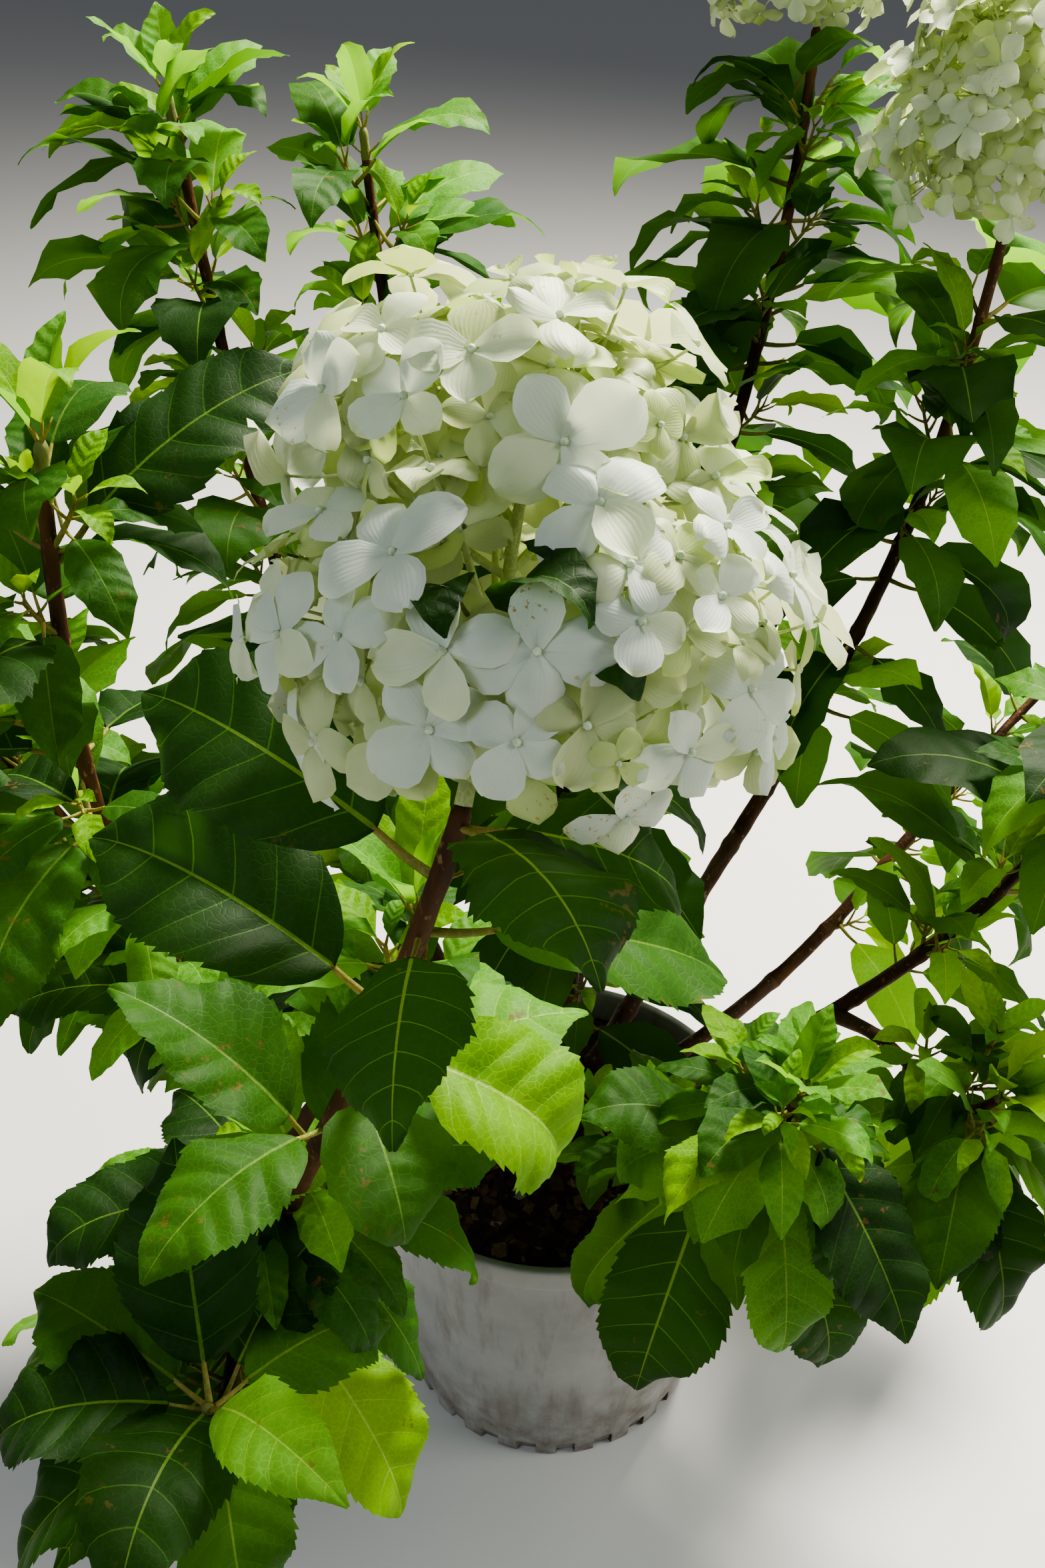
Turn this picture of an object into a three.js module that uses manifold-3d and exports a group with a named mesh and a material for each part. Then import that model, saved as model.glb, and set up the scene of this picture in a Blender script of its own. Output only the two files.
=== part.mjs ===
// A panicle hydrangea in a white nursery pot: a clump of woody stems that rises from one
// low stump, large toothed leaves in pairs and threes, soft green shoot tips, and three
// creamy flower heads, of which the front one is the largest.
//
// Millimetres, +Z up. The origin is the middle of the pot's flat underside, and the front
// flower head stands towards -Y. Angles are in degrees: an azimuth is counted from +X
// towards +Y as seen from above, and a rise or an elevation from the level upwards.

import * as THREE from "three";
import { mergeVertices } from "three/addons/utils/BufferGeometryUtils.js";
import Module from "manifold-3d";

const wasm = await Module();
wasm.setup();

// Driving dimensions of the pot
const POT_HEIGHT = 240;
const POT_BASE_RADIUS = 108;
const POT_MOUTH_RADIUS = 132;
const POT_WALL = 2.5;
const POT_FLOOR = 4;
const RIM_OVERHANG = 5;
const RIM_DEPTH = 16;
const POT_SIDES = 32;
const NOTCH_COUNT = 24;
const NOTCH_WIDTH = 12;
const NOTCH_HEIGHT = 10;

// Driving dimensions of the plant
const FIT_GAP = 0.3;
const MIX_LEVEL = 224;
const MIX_EDGE_LEVEL = 216;
const STUMP_HEIGHT = 36;
const STUMP_RADIUS = 36;
const STUMP_FLARE = 46;
const STEM_RING_RADIUS = 25;
const STEM_FOOT_LEVEL = MIX_LEVEL + 16;
const LEAF_THICKNESS = 1.5;
const STALK_HALF_WIDTH = 1.4;
const SEPAL_THICKNESS = 0.9;
const SPACE_MARGIN = 7;
const LOWEST_LEAF = POT_HEIGHT + 14;

const radians = THREE.MathUtils.degToRad;
const V = (x, y, z) => new THREE.Vector3(x, y, z);
const UP = V(0, 0, 1);

// A number from 0 to 1 that depends only on the four whole numbers given, so that every
// leaf and floret has its own fixed share of chance.
function chance(a, b = 0, c = 0, d = 0) {
  let h = (Math.imul(a + 11, 73856093) ^ Math.imul(b + 23, 19349663)) >>> 0;
  h = (h ^ Math.imul(c + 37, 83492791) ^ Math.imul(d + 53, 1640531513)) >>> 0;
  h = Math.imul(h ^ (h >>> 15), 2246822519) >>> 0;
  h = Math.imul(h ^ (h >>> 13), 3266489917) >>> 0;
  return ((h ^ (h >>> 16)) >>> 0) / 4294967296;
}

// The unit vector at an azimuth and a rise.
function heading(azimuth, rise) {
  const level = Math.cos(radians(rise));
  return V(
    level * Math.cos(radians(azimuth)),
    level * Math.sin(radians(azimuth)),
    Math.sin(radians(rise)),
  );
}

// Closed triangles to a solid, and a solid back to a geometry.
function solidOf(geometry, weld = 1e-4) {
  const bare = geometry.index ? geometry.toNonIndexed() : geometry.clone();
  bare.deleteAttribute("normal");
  bare.deleteAttribute("uv");
  const merged = mergeVertices(bare, weld);
  return new wasm.Manifold(
    new wasm.Mesh({
      numProp: 3,
      vertProperties: new Float32Array(merged.attributes.position.array),
      triVerts: new Uint32Array(merged.index.array),
    }),
  );
}

function facesToSolid(points, faces) {
  const geometry = new THREE.BufferGeometry().setFromPoints(points);
  geometry.setIndex(faces.flat());
  return solidOf(geometry);
}

function geometryOf(solid) {
  const mesh = solid.getMesh();
  const geometry = new THREE.BufferGeometry();
  geometry.setAttribute(
    "position",
    new THREE.BufferAttribute(new Float32Array(mesh.vertProperties), 3),
  );
  geometry.setIndex(new THREE.BufferAttribute(new Uint32Array(mesh.triVerts), 1));
  geometry.computeVertexNormals();
  return geometry;
}

// Joins solids into one body: sealed hollows are filled and loose scraps dropped, also
// those that welding points a micrometre apart would bring about.
function fuse(solids) {
  const largest = (whole) =>
    whole.decompose().reduce((best, body) => (body.volume() > best.volume() ? body : best));
  const joined = largest(wasm.Manifold.union(solids));
  return largest(solidOf(geometryOf(joined), 1e-3));
}

// Rings of points, each joined to the next, closed at both ends. A ring of one point is a tip.
function loft(rings) {
  const points = rings.flat();
  const faces = [];
  let start = 0;
  rings.slice(1).forEach((ring, i) => {
    const here = rings[i].length;
    const next = start + here;
    for (let k = 0; k < here; k++) {
      const k2 = (k + 1) % here;
      if (ring.length === 1) {
        faces.push([start + k, start + k2, next]);
      } else {
        faces.push([start + k, start + k2, next + k2], [start + k, next + k2, next + k]);
      }
    }
    start = next;
  });
  for (let k = 1; k < rings[0].length - 1; k++) faces.push([0, k + 1, k]);
  const last = rings[rings.length - 1].length;
  for (let k = 1; k < last - 1; k++) faces.push([start, start + k, start + k + 1]);
  return facesToSolid(points, faces);
}

// The pot: a thin tapered wall with a turned-over rim and a row of drain notches at its foot.
function wallRadius(z) {
  return POT_BASE_RADIUS + ((POT_MOUTH_RADIUS - POT_BASE_RADIUS) * z) / POT_HEIGHT;
}

function pot() {
  const rimFoot = POT_HEIGHT - RIM_DEPTH;
  const profile = [
    [0, 0],
    [POT_BASE_RADIUS - 2, 0],
    [POT_BASE_RADIUS, 2],
    [wallRadius(rimFoot - 2), rimFoot - 2],
    [POT_MOUTH_RADIUS + RIM_OVERHANG - 1, rimFoot],
    [POT_MOUTH_RADIUS + RIM_OVERHANG, POT_HEIGHT - 3],
    [POT_MOUTH_RADIUS + RIM_OVERHANG - 2.5, POT_HEIGHT],
    [POT_MOUTH_RADIUS - 0.5, POT_HEIGHT],
    [wallRadius(POT_HEIGHT - 4) - POT_WALL, POT_HEIGHT - 4],
    [wallRadius(POT_FLOOR) - POT_WALL, POT_FLOOR],
    [0, POT_FLOOR],
  ].map(([r, z]) => new THREE.Vector2(r, z));
  const shell = new THREE.LatheGeometry(profile, POT_SIDES).rotateX(Math.PI / 2);
  const notch = new THREE.BoxGeometry(12, NOTCH_WIDTH, NOTCH_HEIGHT * 2);
  notch.translate(POT_BASE_RADIUS, 0, 0);
  const cuts = [];
  for (let i = 0; i < NOTCH_COUNT; i++) {
    cuts.push(solidOf(notch.clone().rotateZ(((i + 1 / 3) * 2 * Math.PI) / NOTCH_COUNT)));
  }
  return solidOf(shell).subtract(wasm.Manifold.union(cuts));
}

// The potting mix fills the pot to a low dome, level in the middle, where the stump stands.
function pottingMix() {
  const slack = POT_WALL + FIT_GAP;
  const floor = POT_FLOOR + FIT_GAP;
  const profile = [
    [0, floor],
    [wallRadius(floor) - slack, floor],
    [wallRadius(MIX_EDGE_LEVEL) - slack, MIX_EDGE_LEVEL],
    [POT_MOUTH_RADIUS * 0.72, MIX_LEVEL - 3],
    [STUMP_FLARE + 12, MIX_LEVEL],
    [0, MIX_LEVEL],
  ].map(([r, z]) => new THREE.Vector2(r, z));
  return solidOf(new THREE.LatheGeometry(profile, POT_SIDES).rotateX(Math.PI / 2));
}

// The stump: knotty, flared where it meets the mix, and cut flat there.
function stump(extra = 0) {
  const sides = 12;
  const levels = [
    [0, STUMP_FLARE],
    [0.25, STUMP_RADIUS + 3],
    [0.6, STUMP_RADIUS],
    [0.88, STUMP_RADIUS - 6],
    [1, STUMP_RADIUS - 20],
  ];
  const foot = MIX_LEVEL + FIT_GAP;
  return loft(
    levels.map(([share, radius], level) => {
      const z = foot + share * STUMP_HEIGHT + (level ? extra : -extra);
      return Array.from({ length: sides }, (_, k) => {
        const knot = 1 + 0.14 * (chance(90, k, level) - 0.5);
        const angle = (k * 2 * Math.PI) / sides;
        const r = radius * knot + extra;
        return V(r * Math.cos(angle), r * Math.sin(angle), z);
      });
    }),
  );
}

// Stems. Each leaves the stump, or a parent stem, in one direction and reaches its tip in
// another. seat: azimuth of its foot on the stump's ring. start: azimuth and rise at its
// foot. tip: azimuth, reach from the middle and height of its tip. end: azimuth and rise
// there. pull: how long it keeps to each of the two directions, as shares of its span.
// bare: share of its length below its leaves.
const PULL = [0.42, 0.4];
const STEMS = [
  { name: "front", seat: 262, start: [225, 24], tip: [264.2, 391, 774], end: [-5, 75],
    pull: [0.546, 0.369], foot: 7.2, top: 3.3, bare: 0.62, bloom: true },
  { name: "fork", parent: "front", at: 0.58, start: [120, 70], tip: [256.4, 282, 641],
    end: [150, 70], foot: 4.2, top: 2.4, bare: 0.24 },
  { name: "low_left", parent: "front", at: 0.42, start: [240, 20], tip: [249.8, 425, 492],
    end: [262, 62], foot: 4.8, top: 2.6, bare: 0.3 },
  { name: "left", seat: 222, start: [205, 30], tip: [221.3, 282, 808], end: [30, 84],
    foot: 6.4, top: 3, bare: 0.34 },
  { name: "low_right", seat: 300, start: [298, 34], tip: [298.4, 245, 478], end: [300, 74],
    foot: 5.6, top: 2.6, bare: 0.36 },
  { name: "right_front", seat: 337, start: [345, 40], tip: [350, 334, 657], end: [0, 76],
    foot: 6, top: 2.8, bare: 0.42 },
  { name: "right", seat: 12, start: [18, 22], tip: [27.6, 414, 491], end: [28, 36],
    foot: 6.2, top: 2.8, bare: 0.34 },
  { name: "back_right", seat: 48, start: [40, 50], tip: [33.3, 316, 804], end: [50, 80],
    foot: 6.8, top: 3.2, bare: 0.34, bloom: true },
  { name: "back", seat: 84, start: [76, 56], tip: [63.8, 387, 884], end: [75, 78],
    foot: 6.8, top: 3.2, bare: 0.34, bloom: true },
  { name: "back_mid", seat: 119, start: [112, 62], tip: [115.2, 285, 839], end: [110, 78],
    foot: 6.4, top: 2.8, bare: 0.32 },
  { name: "back_left", seat: 153, start: [145, 50], tip: [137.2, 316, 866], end: [150, 82],
    foot: 6.6, top: 3, bare: 0.32 },
  { name: "inner", seat: 30, ring: 0.2, start: [60, 80], tip: [112, 62, 700], end: [150, 82],
    foot: 6, top: 2.8, bare: 0.3 },
  { name: "left_back", seat: 187, start: [176, 36], tip: [179.5, 369, 641], end: [170, 72],
    foot: 6, top: 2.8, bare: 0.32 },
  { name: "right_low", parent: "right_front", at: 0.38, start: [318, 16], tip: [321, 296, 446],
    end: [316, 62], foot: 4.4, top: 2.4, bare: 0.24 },
];
const ROUTE_STEPS = 24;

// A stem's route is a Bezier curve walked in straight steps.
function routeOf(stem, parents) {
  const [azimuth, reach, height] = stem.tip;
  const tip = heading(azimuth, 0).multiplyScalar(reach).setZ(height);
  const foot = stem.parent
    ? along(parents[stem.parent], stem.at * parents[stem.parent].length).point
    : heading(stem.seat, 0)
        .multiplyScalar(STEM_RING_RADIUS * (stem.ring ?? 1))
        .setZ(STEM_FOOT_LEVEL);
  const span = foot.distanceTo(tip);
  const [early, late] = stem.pull ?? PULL;
  const curve = new THREE.CubicBezierCurve3(
    foot,
    foot.clone().addScaledVector(heading(...stem.start), span * early),
    tip.clone().addScaledVector(heading(...stem.end), -span * late),
    tip,
  );
  const points = [];
  for (let i = 0; i <= ROUTE_STEPS; i++) points.push(curve.getPoint(i / ROUTE_STEPS));
  const reached = [0];
  points.slice(1).forEach((p, i) => reached.push(reached[i] + p.distanceTo(points[i])));
  return { stem, points, reached, length: reached[ROUTE_STEPS], side: heading(azimuth + 90, 0) };
}

// The point, direction and two cross directions at a distance along a route.
function along(route, distance) {
  const { points, reached, length, side } = route;
  const s = Math.min(Math.max(distance, 0), length);
  let i = 0;
  while (i < ROUTE_STEPS - 1 && reached[i + 1] < s) i++;
  const share = (s - reached[i]) / (reached[i + 1] - reached[i]);
  const point = points[i].clone().lerp(points[i + 1], share);
  const before = points[Math.max(i - 1, 0)];
  const after = points[Math.min(i + 2, ROUTE_STEPS)];
  const direction = after.clone().sub(before).normalize();
  const across = side.clone().addScaledVector(direction, -side.dot(direction)).normalize();
  const outward = across.clone().cross(direction);
  return { point, direction, across, outward };
}

function radiusAt(route, distance) {
  const { foot, top } = route.stem;
  return foot + (top - foot) * (distance / route.length);
}

// A stretch of stem between two distances along its route. extra makes a wider copy for
// cutting room in a neighbour.
function limb(route, from, to, sides, steps, extra = 0) {
  const rings = [];
  for (let i = 0; i <= steps; i++) {
    const s = from + ((to - from) * i) / steps;
    const { point, across, outward } = along(route, s);
    const radius = radiusAt(route, s) + extra;
    rings.push(
      Array.from({ length: sides }, (_, k) => {
        const angle = (k * 2 * Math.PI) / sides;
        return point
          .clone()
          .addScaledVector(across, radius * Math.cos(angle))
          .addScaledVector(outward, -radius * Math.sin(angle));
      }),
    );
  }
  return loft(rings);
}

// Leaves. A leaf is a stalk and a blade along one arc that bends away from its upper side.
// heading: azimuth and rise of the stalk. length and width are the blade's. bend: how far
// the blade turns down along its length. roll: turn about its own midrib.
const STALK_SHARE = 0.22;

function leafFrame(leaf) {
  const forward = heading(...leaf.heading);
  const upper = UP.clone().addScaledVector(forward, -UP.dot(forward)).normalize();
  upper.applyAxisAngle(forward, radians(leaf.roll));
  return { forward, upper, side: forward.clone().cross(upper) };
}

// The middle of the blade at share t of its length, with its direction and upper side there.
function midrib(leaf, frame, t) {
  const bend = radians(leaf.bend);
  const stalk = leaf.length * STALK_SHARE;
  const turn = bend * t;
  const radius = leaf.length / bend;
  const point = leaf.root
    .clone()
    .addScaledVector(frame.forward, stalk + radius * Math.sin(turn))
    .addScaledVector(frame.upper, -radius * (1 - Math.cos(turn)));
  const upper = frame.upper
    .clone()
    .multiplyScalar(Math.cos(turn))
    .addScaledVector(frame.forward, Math.sin(turn));
  return { point, upper };
}

// Half the blade's width at share t: an egg outline, widest below its middle, drawn out to a tip.
function bladeHalfWidth(leaf, t) {
  const widest = 0.387;
  const full = widest ** 0.6 * (1 - widest) ** 0.95;
  return (0.5 * leaf.width * t ** 0.6 * (1 - t) ** 0.95) / full;
}

function leafSolid(leaf) {
  const frame = leafFrame(leaf);
  const stations = leaf.length > 100 ? [0.14, 0.4, 0.72] : [0.22, 0.62];
  const keel = Math.max(LEAF_THICKNESS, leaf.length / 60);
  const section = (point, upper, half) => [
    point.clone().addScaledVector(frame.side, half).addScaledVector(upper, keel / 3),
    point.clone().addScaledVector(upper, (-2 * keel) / 3),
    point.clone().addScaledVector(frame.side, -half).addScaledVector(upper, keel / 3),
  ];
  const start = midrib(leaf, frame, 0);
  const rings = [
    section(leaf.root, frame.upper, STALK_HALF_WIDTH),
    section(start.point, start.upper, STALK_HALF_WIDTH),
  ];
  stations.forEach((t) => {
    const { point, upper } = midrib(leaf, frame, t);
    rings.push(section(point, upper, bladeHalfWidth(leaf, t)));
  });
  rings.push([midrib(leaf, frame, 1).point]);
  return loft(rings);
}

// Leaves that were placed one by one, on the stems nearest to the eye.
// Each: distance below the stem's tip, azimuth, rise, length, width, bend, roll.
const PLACED_LEAVES = {
  front: [
    [8, 307, 18, 70, 54, 50, -18],
    [8, 346, 4, 68, 44, 40, 16],
    [30, 150, 25, 113, 58, 40, -24],
    [30, 29, 1, 51, 46, 40, 0],
    [53, 264, 4, 67, 44, 36, 10],
    [53, 13, -10, 108, 50, 40, 24],
    [94, 163, 37, 103, 60, 40, -20],
    [114, 351, -17, 81, 62, 44, 10],
    [136, 290, 3, 60, 46, 36, 0],
    [200, 172, 59, 87, 52, 40, -14],
  ],
  low_left: [
    [8, 104, 63, 91, 56, 30, 0],
    [10, 151, 21, 85, 48, 40, -10],
    [140, 315, -18, 118, 54, 46, 0],
    [37, 260, 44, 101, 56, 50, 0],
    [12, 187, 21, 80, 56, 50, 0],
    [6, 310, 49, 88, 36, 60, 10],
  ],
  left: [[55, 22, 45, 117, 56, 40, 20]],
};
const PLACED_REACH = { front: 240, low_left: 70, left: 0 };

// Leaves that follow the rule: nodes come closer together towards the tip, each turned a
// quarter from the last, in twos and threes. A tuft of young leaves stands at a shoot's tip.
function ruledLeaves(route, index) {
  const { stem, length } = route;
  const leaves = [];
  const leafy = length * (1 - stem.bare);
  const first = (stem.bloom ? 26 : 16) + (PLACED_REACH[stem.name] ?? 0);
  for (let node = 0; ; node++) {
    const below = first + 28 * node + 4 * node * node;
    if (below > leafy - 12) break;
    const grown = stem.bloom ? 1 : Math.min(1, 0.56 + 0.2 * node);
    const count = chance(index, node, 1) < 0.3 ? 3 : 2;
    for (let k = 0; k < count; k++) {
      const around = 90 * node + (360 / count) * k + 40 * (chance(index, node, k, 2) - 0.5) + 45;
      const from = along(route, length - below);
      const splay = 50 + 24 * chance(index, node, k, 3) + 4 * node;
      const toward = from.direction
        .clone()
        .multiplyScalar(Math.cos(radians(splay)))
        .addScaledVector(from.outward, Math.sin(radians(splay)) * Math.cos(radians(around)))
        .addScaledVector(from.across, Math.sin(radians(splay)) * Math.sin(radians(around)));
      const size = 110 * grown * (0.82 + 0.32 * chance(index, node, k, 4));
      leaves.push({
        root: from.point,
        heading: [
          THREE.MathUtils.radToDeg(Math.atan2(toward.y, toward.x)),
          THREE.MathUtils.radToDeg(Math.asin(toward.z)),
        ],
        length: size,
        width: size * (0.5 + 0.12 * chance(index, node, k, 5)),
        bend: 34 + 40 * chance(index, node, k, 6),
        roll: 36 * (chance(index, node, k, 7) - 0.5),
      });
    }
  }
  if (!stem.bloom && !PLACED_REACH[stem.name]) leaves.push(...tuft(route, index));
  return leaves;
}

function tuft(route, index) {
  const tip = along(route, route.length - 2);
  return Array.from({ length: 5 }, (_, k) => {
    const around = radians(72 * k + 30 * chance(index, 40, k, 1));
    const splay = radians(20 + 16 * chance(index, 40, k, 2));
    const toward = tip.direction
      .clone()
      .multiplyScalar(Math.cos(splay))
      .addScaledVector(tip.outward, Math.sin(splay) * Math.cos(around))
      .addScaledVector(tip.across, Math.sin(splay) * Math.sin(around));
    const size = 40 + 16 * chance(index, 40, k, 3);
    return {
      root: tip.point,
      heading: [
        THREE.MathUtils.radToDeg(Math.atan2(toward.y, toward.x)),
        THREE.MathUtils.radToDeg(Math.asin(toward.z)),
      ],
      length: size,
      width: size * 0.46,
      bend: 20,
      roll: 0,
    };
  });
}

// Points on a leaf that have to lie in its mass's own space.
function leafProbes(leaf) {
  const frame = leafFrame(leaf);
  const probes = [midrib(leaf, frame, 1).point];
  [0.3, 0.65].forEach((t) => {
    const { point } = midrib(leaf, frame, t);
    const half = bladeHalfWidth(leaf, t);
    probes.push(
      point,
      point.clone().addScaledVector(frame.side, half),
      point.clone().addScaledVector(frame.side, -half),
    );
  });
  return probes;
}

function distanceToRoute(point, route) {
  let best = Infinity;
  const step = new THREE.Line3();
  const near = V(0, 0, 0);
  for (let i = 0; i < ROUTE_STEPS; i++) {
    step.set(route.points[i], route.points[i + 1]).closestPointToPoint(point, true, near);
    best = Math.min(best, near.distanceTo(point));
  }
  return best;
}

// A mass's own space is what lies nearer to its stem than to any other, outside every
// flower head and above the pot.
function inOwnSpace(leaf, route, routes, blooms) {
  return leafProbes(leaf).every((probe) => {
    if (probe.z < LOWEST_LEAF) return false;
    if (blooms.some((bloom) => insideBloom(bloom, probe, SPACE_MARGIN))) return false;
    const own = distanceToRoute(probe, route);
    return routes.every(
      (other) => other === route || distanceToRoute(probe, other) > own + SPACE_MARGIN,
    );
  });
}

// Flower heads. A head is a rounded cone of florets on stalks: a dome over a wider skirt,
// both ellipsoids in the head's own frame, where x runs across, -y to the front and z up.
const HEAD_DOME = { centre: V(-8, 0, 40), radii: V(66, 56, 43) };
const HEAD_SKIRT = { centre: V(0, 0, -20), radii: V(86, 70, 68) };
const HEAD_FOOT = V(-18, 0, -72);
const HEAD_TOP = V(4, 0, 48);
const HEAD_STALK = [3.4, 1.8];
const HEAD_OPEN_BELOW = -0.78;
const BLOOMS = [
  { stem: "front", scale: 1, tilt: 26, facing: -90, tries: 114, widest: 37, apart: 0.42, depth: 0.1,
    branches: 16 },
  { stem: "back_right", scale: 0.9, tilt: 4, facing: 33, tries: 54, widest: 42, apart: 0.48, depth: 0,
    branches: 8 },
  { stem: "back", scale: 0.86, tilt: 4, facing: 64, tries: 54, widest: 42, apart: 0.48, depth: 0,
    branches: 8 },
];

// The front head's frame leans back, square to the eye of someone who looks down at it.
function bloomOf(spec, routes) {
  const base = routes.find((r) => r.stem.name === spec.stem).points[ROUTE_STEPS];
  const across = heading(spec.facing + 90, 0);
  const up = heading(spec.facing + 180, 90 - spec.tilt);
  const back = up.clone().cross(across);
  const bloom = { ...spec, across, back, up, centre: V(0, 0, 0) };
  bloom.centre = base.clone().sub(toWorld(bloom, HEAD_FOOT));
  return bloom;
}

function toWorld(bloom, local) {
  return bloom.centre
    .clone()
    .addScaledVector(bloom.across, local.x * bloom.scale)
    .addScaledVector(bloom.back, local.y * bloom.scale)
    .addScaledVector(bloom.up, local.z * bloom.scale);
}

function turnToWorld(bloom, local) {
  return V(0, 0, 0)
    .addScaledVector(bloom.across, local.x)
    .addScaledVector(bloom.back, local.y)
    .addScaledVector(bloom.up, local.z);
}

function insideBloom(bloom, point, margin) {
  const offset = point.clone().sub(bloom.centre).divideScalar(bloom.scale);
  const local = V(offset.dot(bloom.across), offset.dot(bloom.back), offset.dot(bloom.up));
  return [HEAD_DOME, HEAD_SKIRT].some(({ centre, radii }) => {
    const reach = local.clone().sub(centre);
    const grown = V(radii.x + margin, radii.y + margin, radii.z + margin);
    return reach.divide(grown).length() < 1;
  });
}

// Where a ray from the head's middle leaves an ellipsoid that holds the middle.
function exitDistance({ centre, radii }, ray) {
  const d = ray.clone().divide(radii);
  const o = centre.clone().negate().divide(radii);
  const b = d.dot(o);
  const c = o.lengthSq() - 1;
  return (-b + Math.sqrt(Math.max(b * b - d.lengthSq() * c, 0))) / d.lengthSq();
}

// The point of the head's outline along a ray, and the way a floret there faces.
function headSurface(ray) {
  const dome = exitDistance(HEAD_DOME, ray);
  const skirt = exitDistance(HEAD_SKIRT, ray);
  const shape = dome > skirt ? HEAD_DOME : HEAD_SKIRT;
  const point = ray.clone().multiplyScalar(Math.max(dome, skirt));
  const facing = point.clone().sub(shape.centre).divide(shape.radii).divide(shape.radii);
  return { point, facing: facing.normalize() };
}

// The open heart on the front head's front, where no floret stands: its middle across and
// up the head, and half its width and height.
const HEART = { x: 1.5, z: 0, wide: 18, high: 20 };

// The front florets of the front head, each by its place across and up the head, its
// width across its sepals and its turn about its stalk.
const FRONT_FLORETS = [
  [-33, 1, 37, 28],
  [3, -23, 36, 2],
  [10, 29, 36, 38],
  [-20, -23, 33, 12],
  [-13, 51, 30, 4],
  [-36, 57, 26, 60],
  [-52, 43, 31, 16],
  [-30, 40, 26, 50],
  [19, 13, 35, 40],
  [35, 34, 18, 8],
  [29, -16, 25, 70],
  [26, -2, 25, 24],
  [50, -10, 25, 48],
  [52, 8, 25, 14],
  [-24, -43, 30, 34],
  [-2, -46, 27, 52],
  [27, -69, 27, 16],
  [24, -52, 17, 64],
  [43, -50, 28, 30],
  [-64, -20, 30, 62],
  [-47, -20, 30, 20],
];

function frontPlace(acrossMm, upMm) {
  let best = null;
  [HEAD_DOME, HEAD_SKIRT].forEach(({ centre, radii }) => {
    const x = (acrossMm - centre.x) / radii.x;
    const z = (upMm - centre.z) / radii.z;
    const wide = Math.min(Math.hypot(x, z), 0.96);
    const y = centre.y - radii.y * Math.sqrt(1 - wide * wide);
    if (Math.hypot(x, z) > 1.12 || (best && best.point.y < y)) return;
    const point = V(acrossMm, y, upMm);
    const facing = point.clone().sub(centre).divide(radii).divide(radii).normalize();
    best = { point, facing };
  });
  return best;
}

// Whether a point lies in the open heart on the front of the front head.
function inHeart(point) {
  return point.y < 0 && Math.hypot((point.x - HEART.x) / HEART.wide, (point.z - HEART.z) / HEART.high) < 1;
}

// All florets of a head: the placed ones, then a spiral of others where there is room.
function floretsOf(bloom, index) {
  const florets = [];
  if (bloom.stem === "front") {
    FRONT_FLORETS.forEach(([acrossMm, upMm, width, spin]) => {
      florets.push({ ...frontPlace(acrossMm, upMm), width, spin, placed: true });
    });
  }
  const golden = Math.PI * (3 - Math.sqrt(5));
  for (let i = 0; i < bloom.tries; i++) {
    const z = 1 - (2 * (i + 0.5)) / bloom.tries;
    if (z < HEAD_OPEN_BELOW) continue;
    const level = Math.sqrt(1 - z * z);
    const turn = golden * i + 0.5 * (chance(index, i, 61) - 0.5);
    const place = headSurface(V(level * Math.cos(turn), level * Math.sin(turn), z));
    place.point.multiplyScalar(1 - bloom.depth * chance(index, i, 62));
    if (bloom.stem === "front" && inHeart(place.point)) continue;
    const width = bloom.widest - 9 * chance(index, i, 63);
    const crowded = florets.some(
      (other) => other.point.distanceTo(place.point) < bloom.apart * (other.width + width),
    );
    if (!crowded) florets.push({ ...place, width, spin: 90 * chance(index, i, 64) });
  }
  florets.forEach((floret, i) => {
    floret.facing.x += 0.5 * (chance(index, i, 65) - 0.5);
    floret.facing.y += 0.3 * (chance(index, i, 66) - 0.5);
    floret.facing.z += 0.3 * chance(index, i, 67);
    floret.facing.normalize();
  });
  return florets;
}

// A floret on its stalk: four sepals as one lobed plate, dished a little, and a thin
// three-sided stalk from the side branch's end to the plate's underside.
function floretSolid(from, floret, fine) {
  const { facing, point } = floret;
  const across = V(0, 0, 1).cross(facing).normalize();
  const upward = facing.clone().cross(across);
  const reach = floret.width / 2;
  const at = (centre, radius, degrees, lift) => {
    const angle = radians(degrees);
    return centre
      .clone()
      .addScaledVector(across, radius * Math.cos(angle))
      .addScaledVector(upward, radius * Math.sin(angle))
      .addScaledVector(facing, lift);
  };
  const rim = [];
  for (let lobe = 0; lobe < 4; lobe++) {
    const turn = 90 * lobe + floret.spin;
    rim.push(at(point, reach * (fine ? 0.44 : 0.56), turn - 45, 0.9));
    if (fine) {
      rim.push(at(point, reach * 0.95, turn - 22, 2.4), at(point, reach * 0.95, turn + 22, 2.4));
    } else {
      rim.push(at(point, reach, turn, 2.4));
    }
  }
  const count = rim.length;
  const stalk = [0, 120, 240].map((turn) => at(point, 0.8, turn, -SEPAL_THICKNESS));
  const foot = [0, 120, 240].map((turn) => at(from, 1.1, turn, 0));
  const points = [...rim, at(point, 0, 0, SEPAL_THICKNESS), ...stalk, ...foot];
  const top = count;
  const nearest = (k) => {
    const angle = (360 * k) / count - 45 + floret.spin;
    return (((Math.round(angle / 120) % 3) + 3) % 3) + count + 1;
  };
  const faces = [];
  for (let k = 0; k < count; k++) {
    const next = (k + 1) % count;
    faces.push([top, k, next], [next, k, nearest(k)]);
    if (nearest(k) !== nearest(next)) faces.push([next, nearest(k), nearest(next)]);
  }
  for (let k = 0; k < 3; k++) {
    const k2 = (k + 1) % 3;
    const [low, low2] = [count + 4 + k, count + 4 + k2];
    const [high, high2] = [count + 1 + k, count + 1 + k2];
    faces.push([low, low2, high2], [low, high2, high]);
  }
  faces.push([count + 4, count + 6, count + 5]);
  return facesToSolid(points, faces);
}

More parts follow.
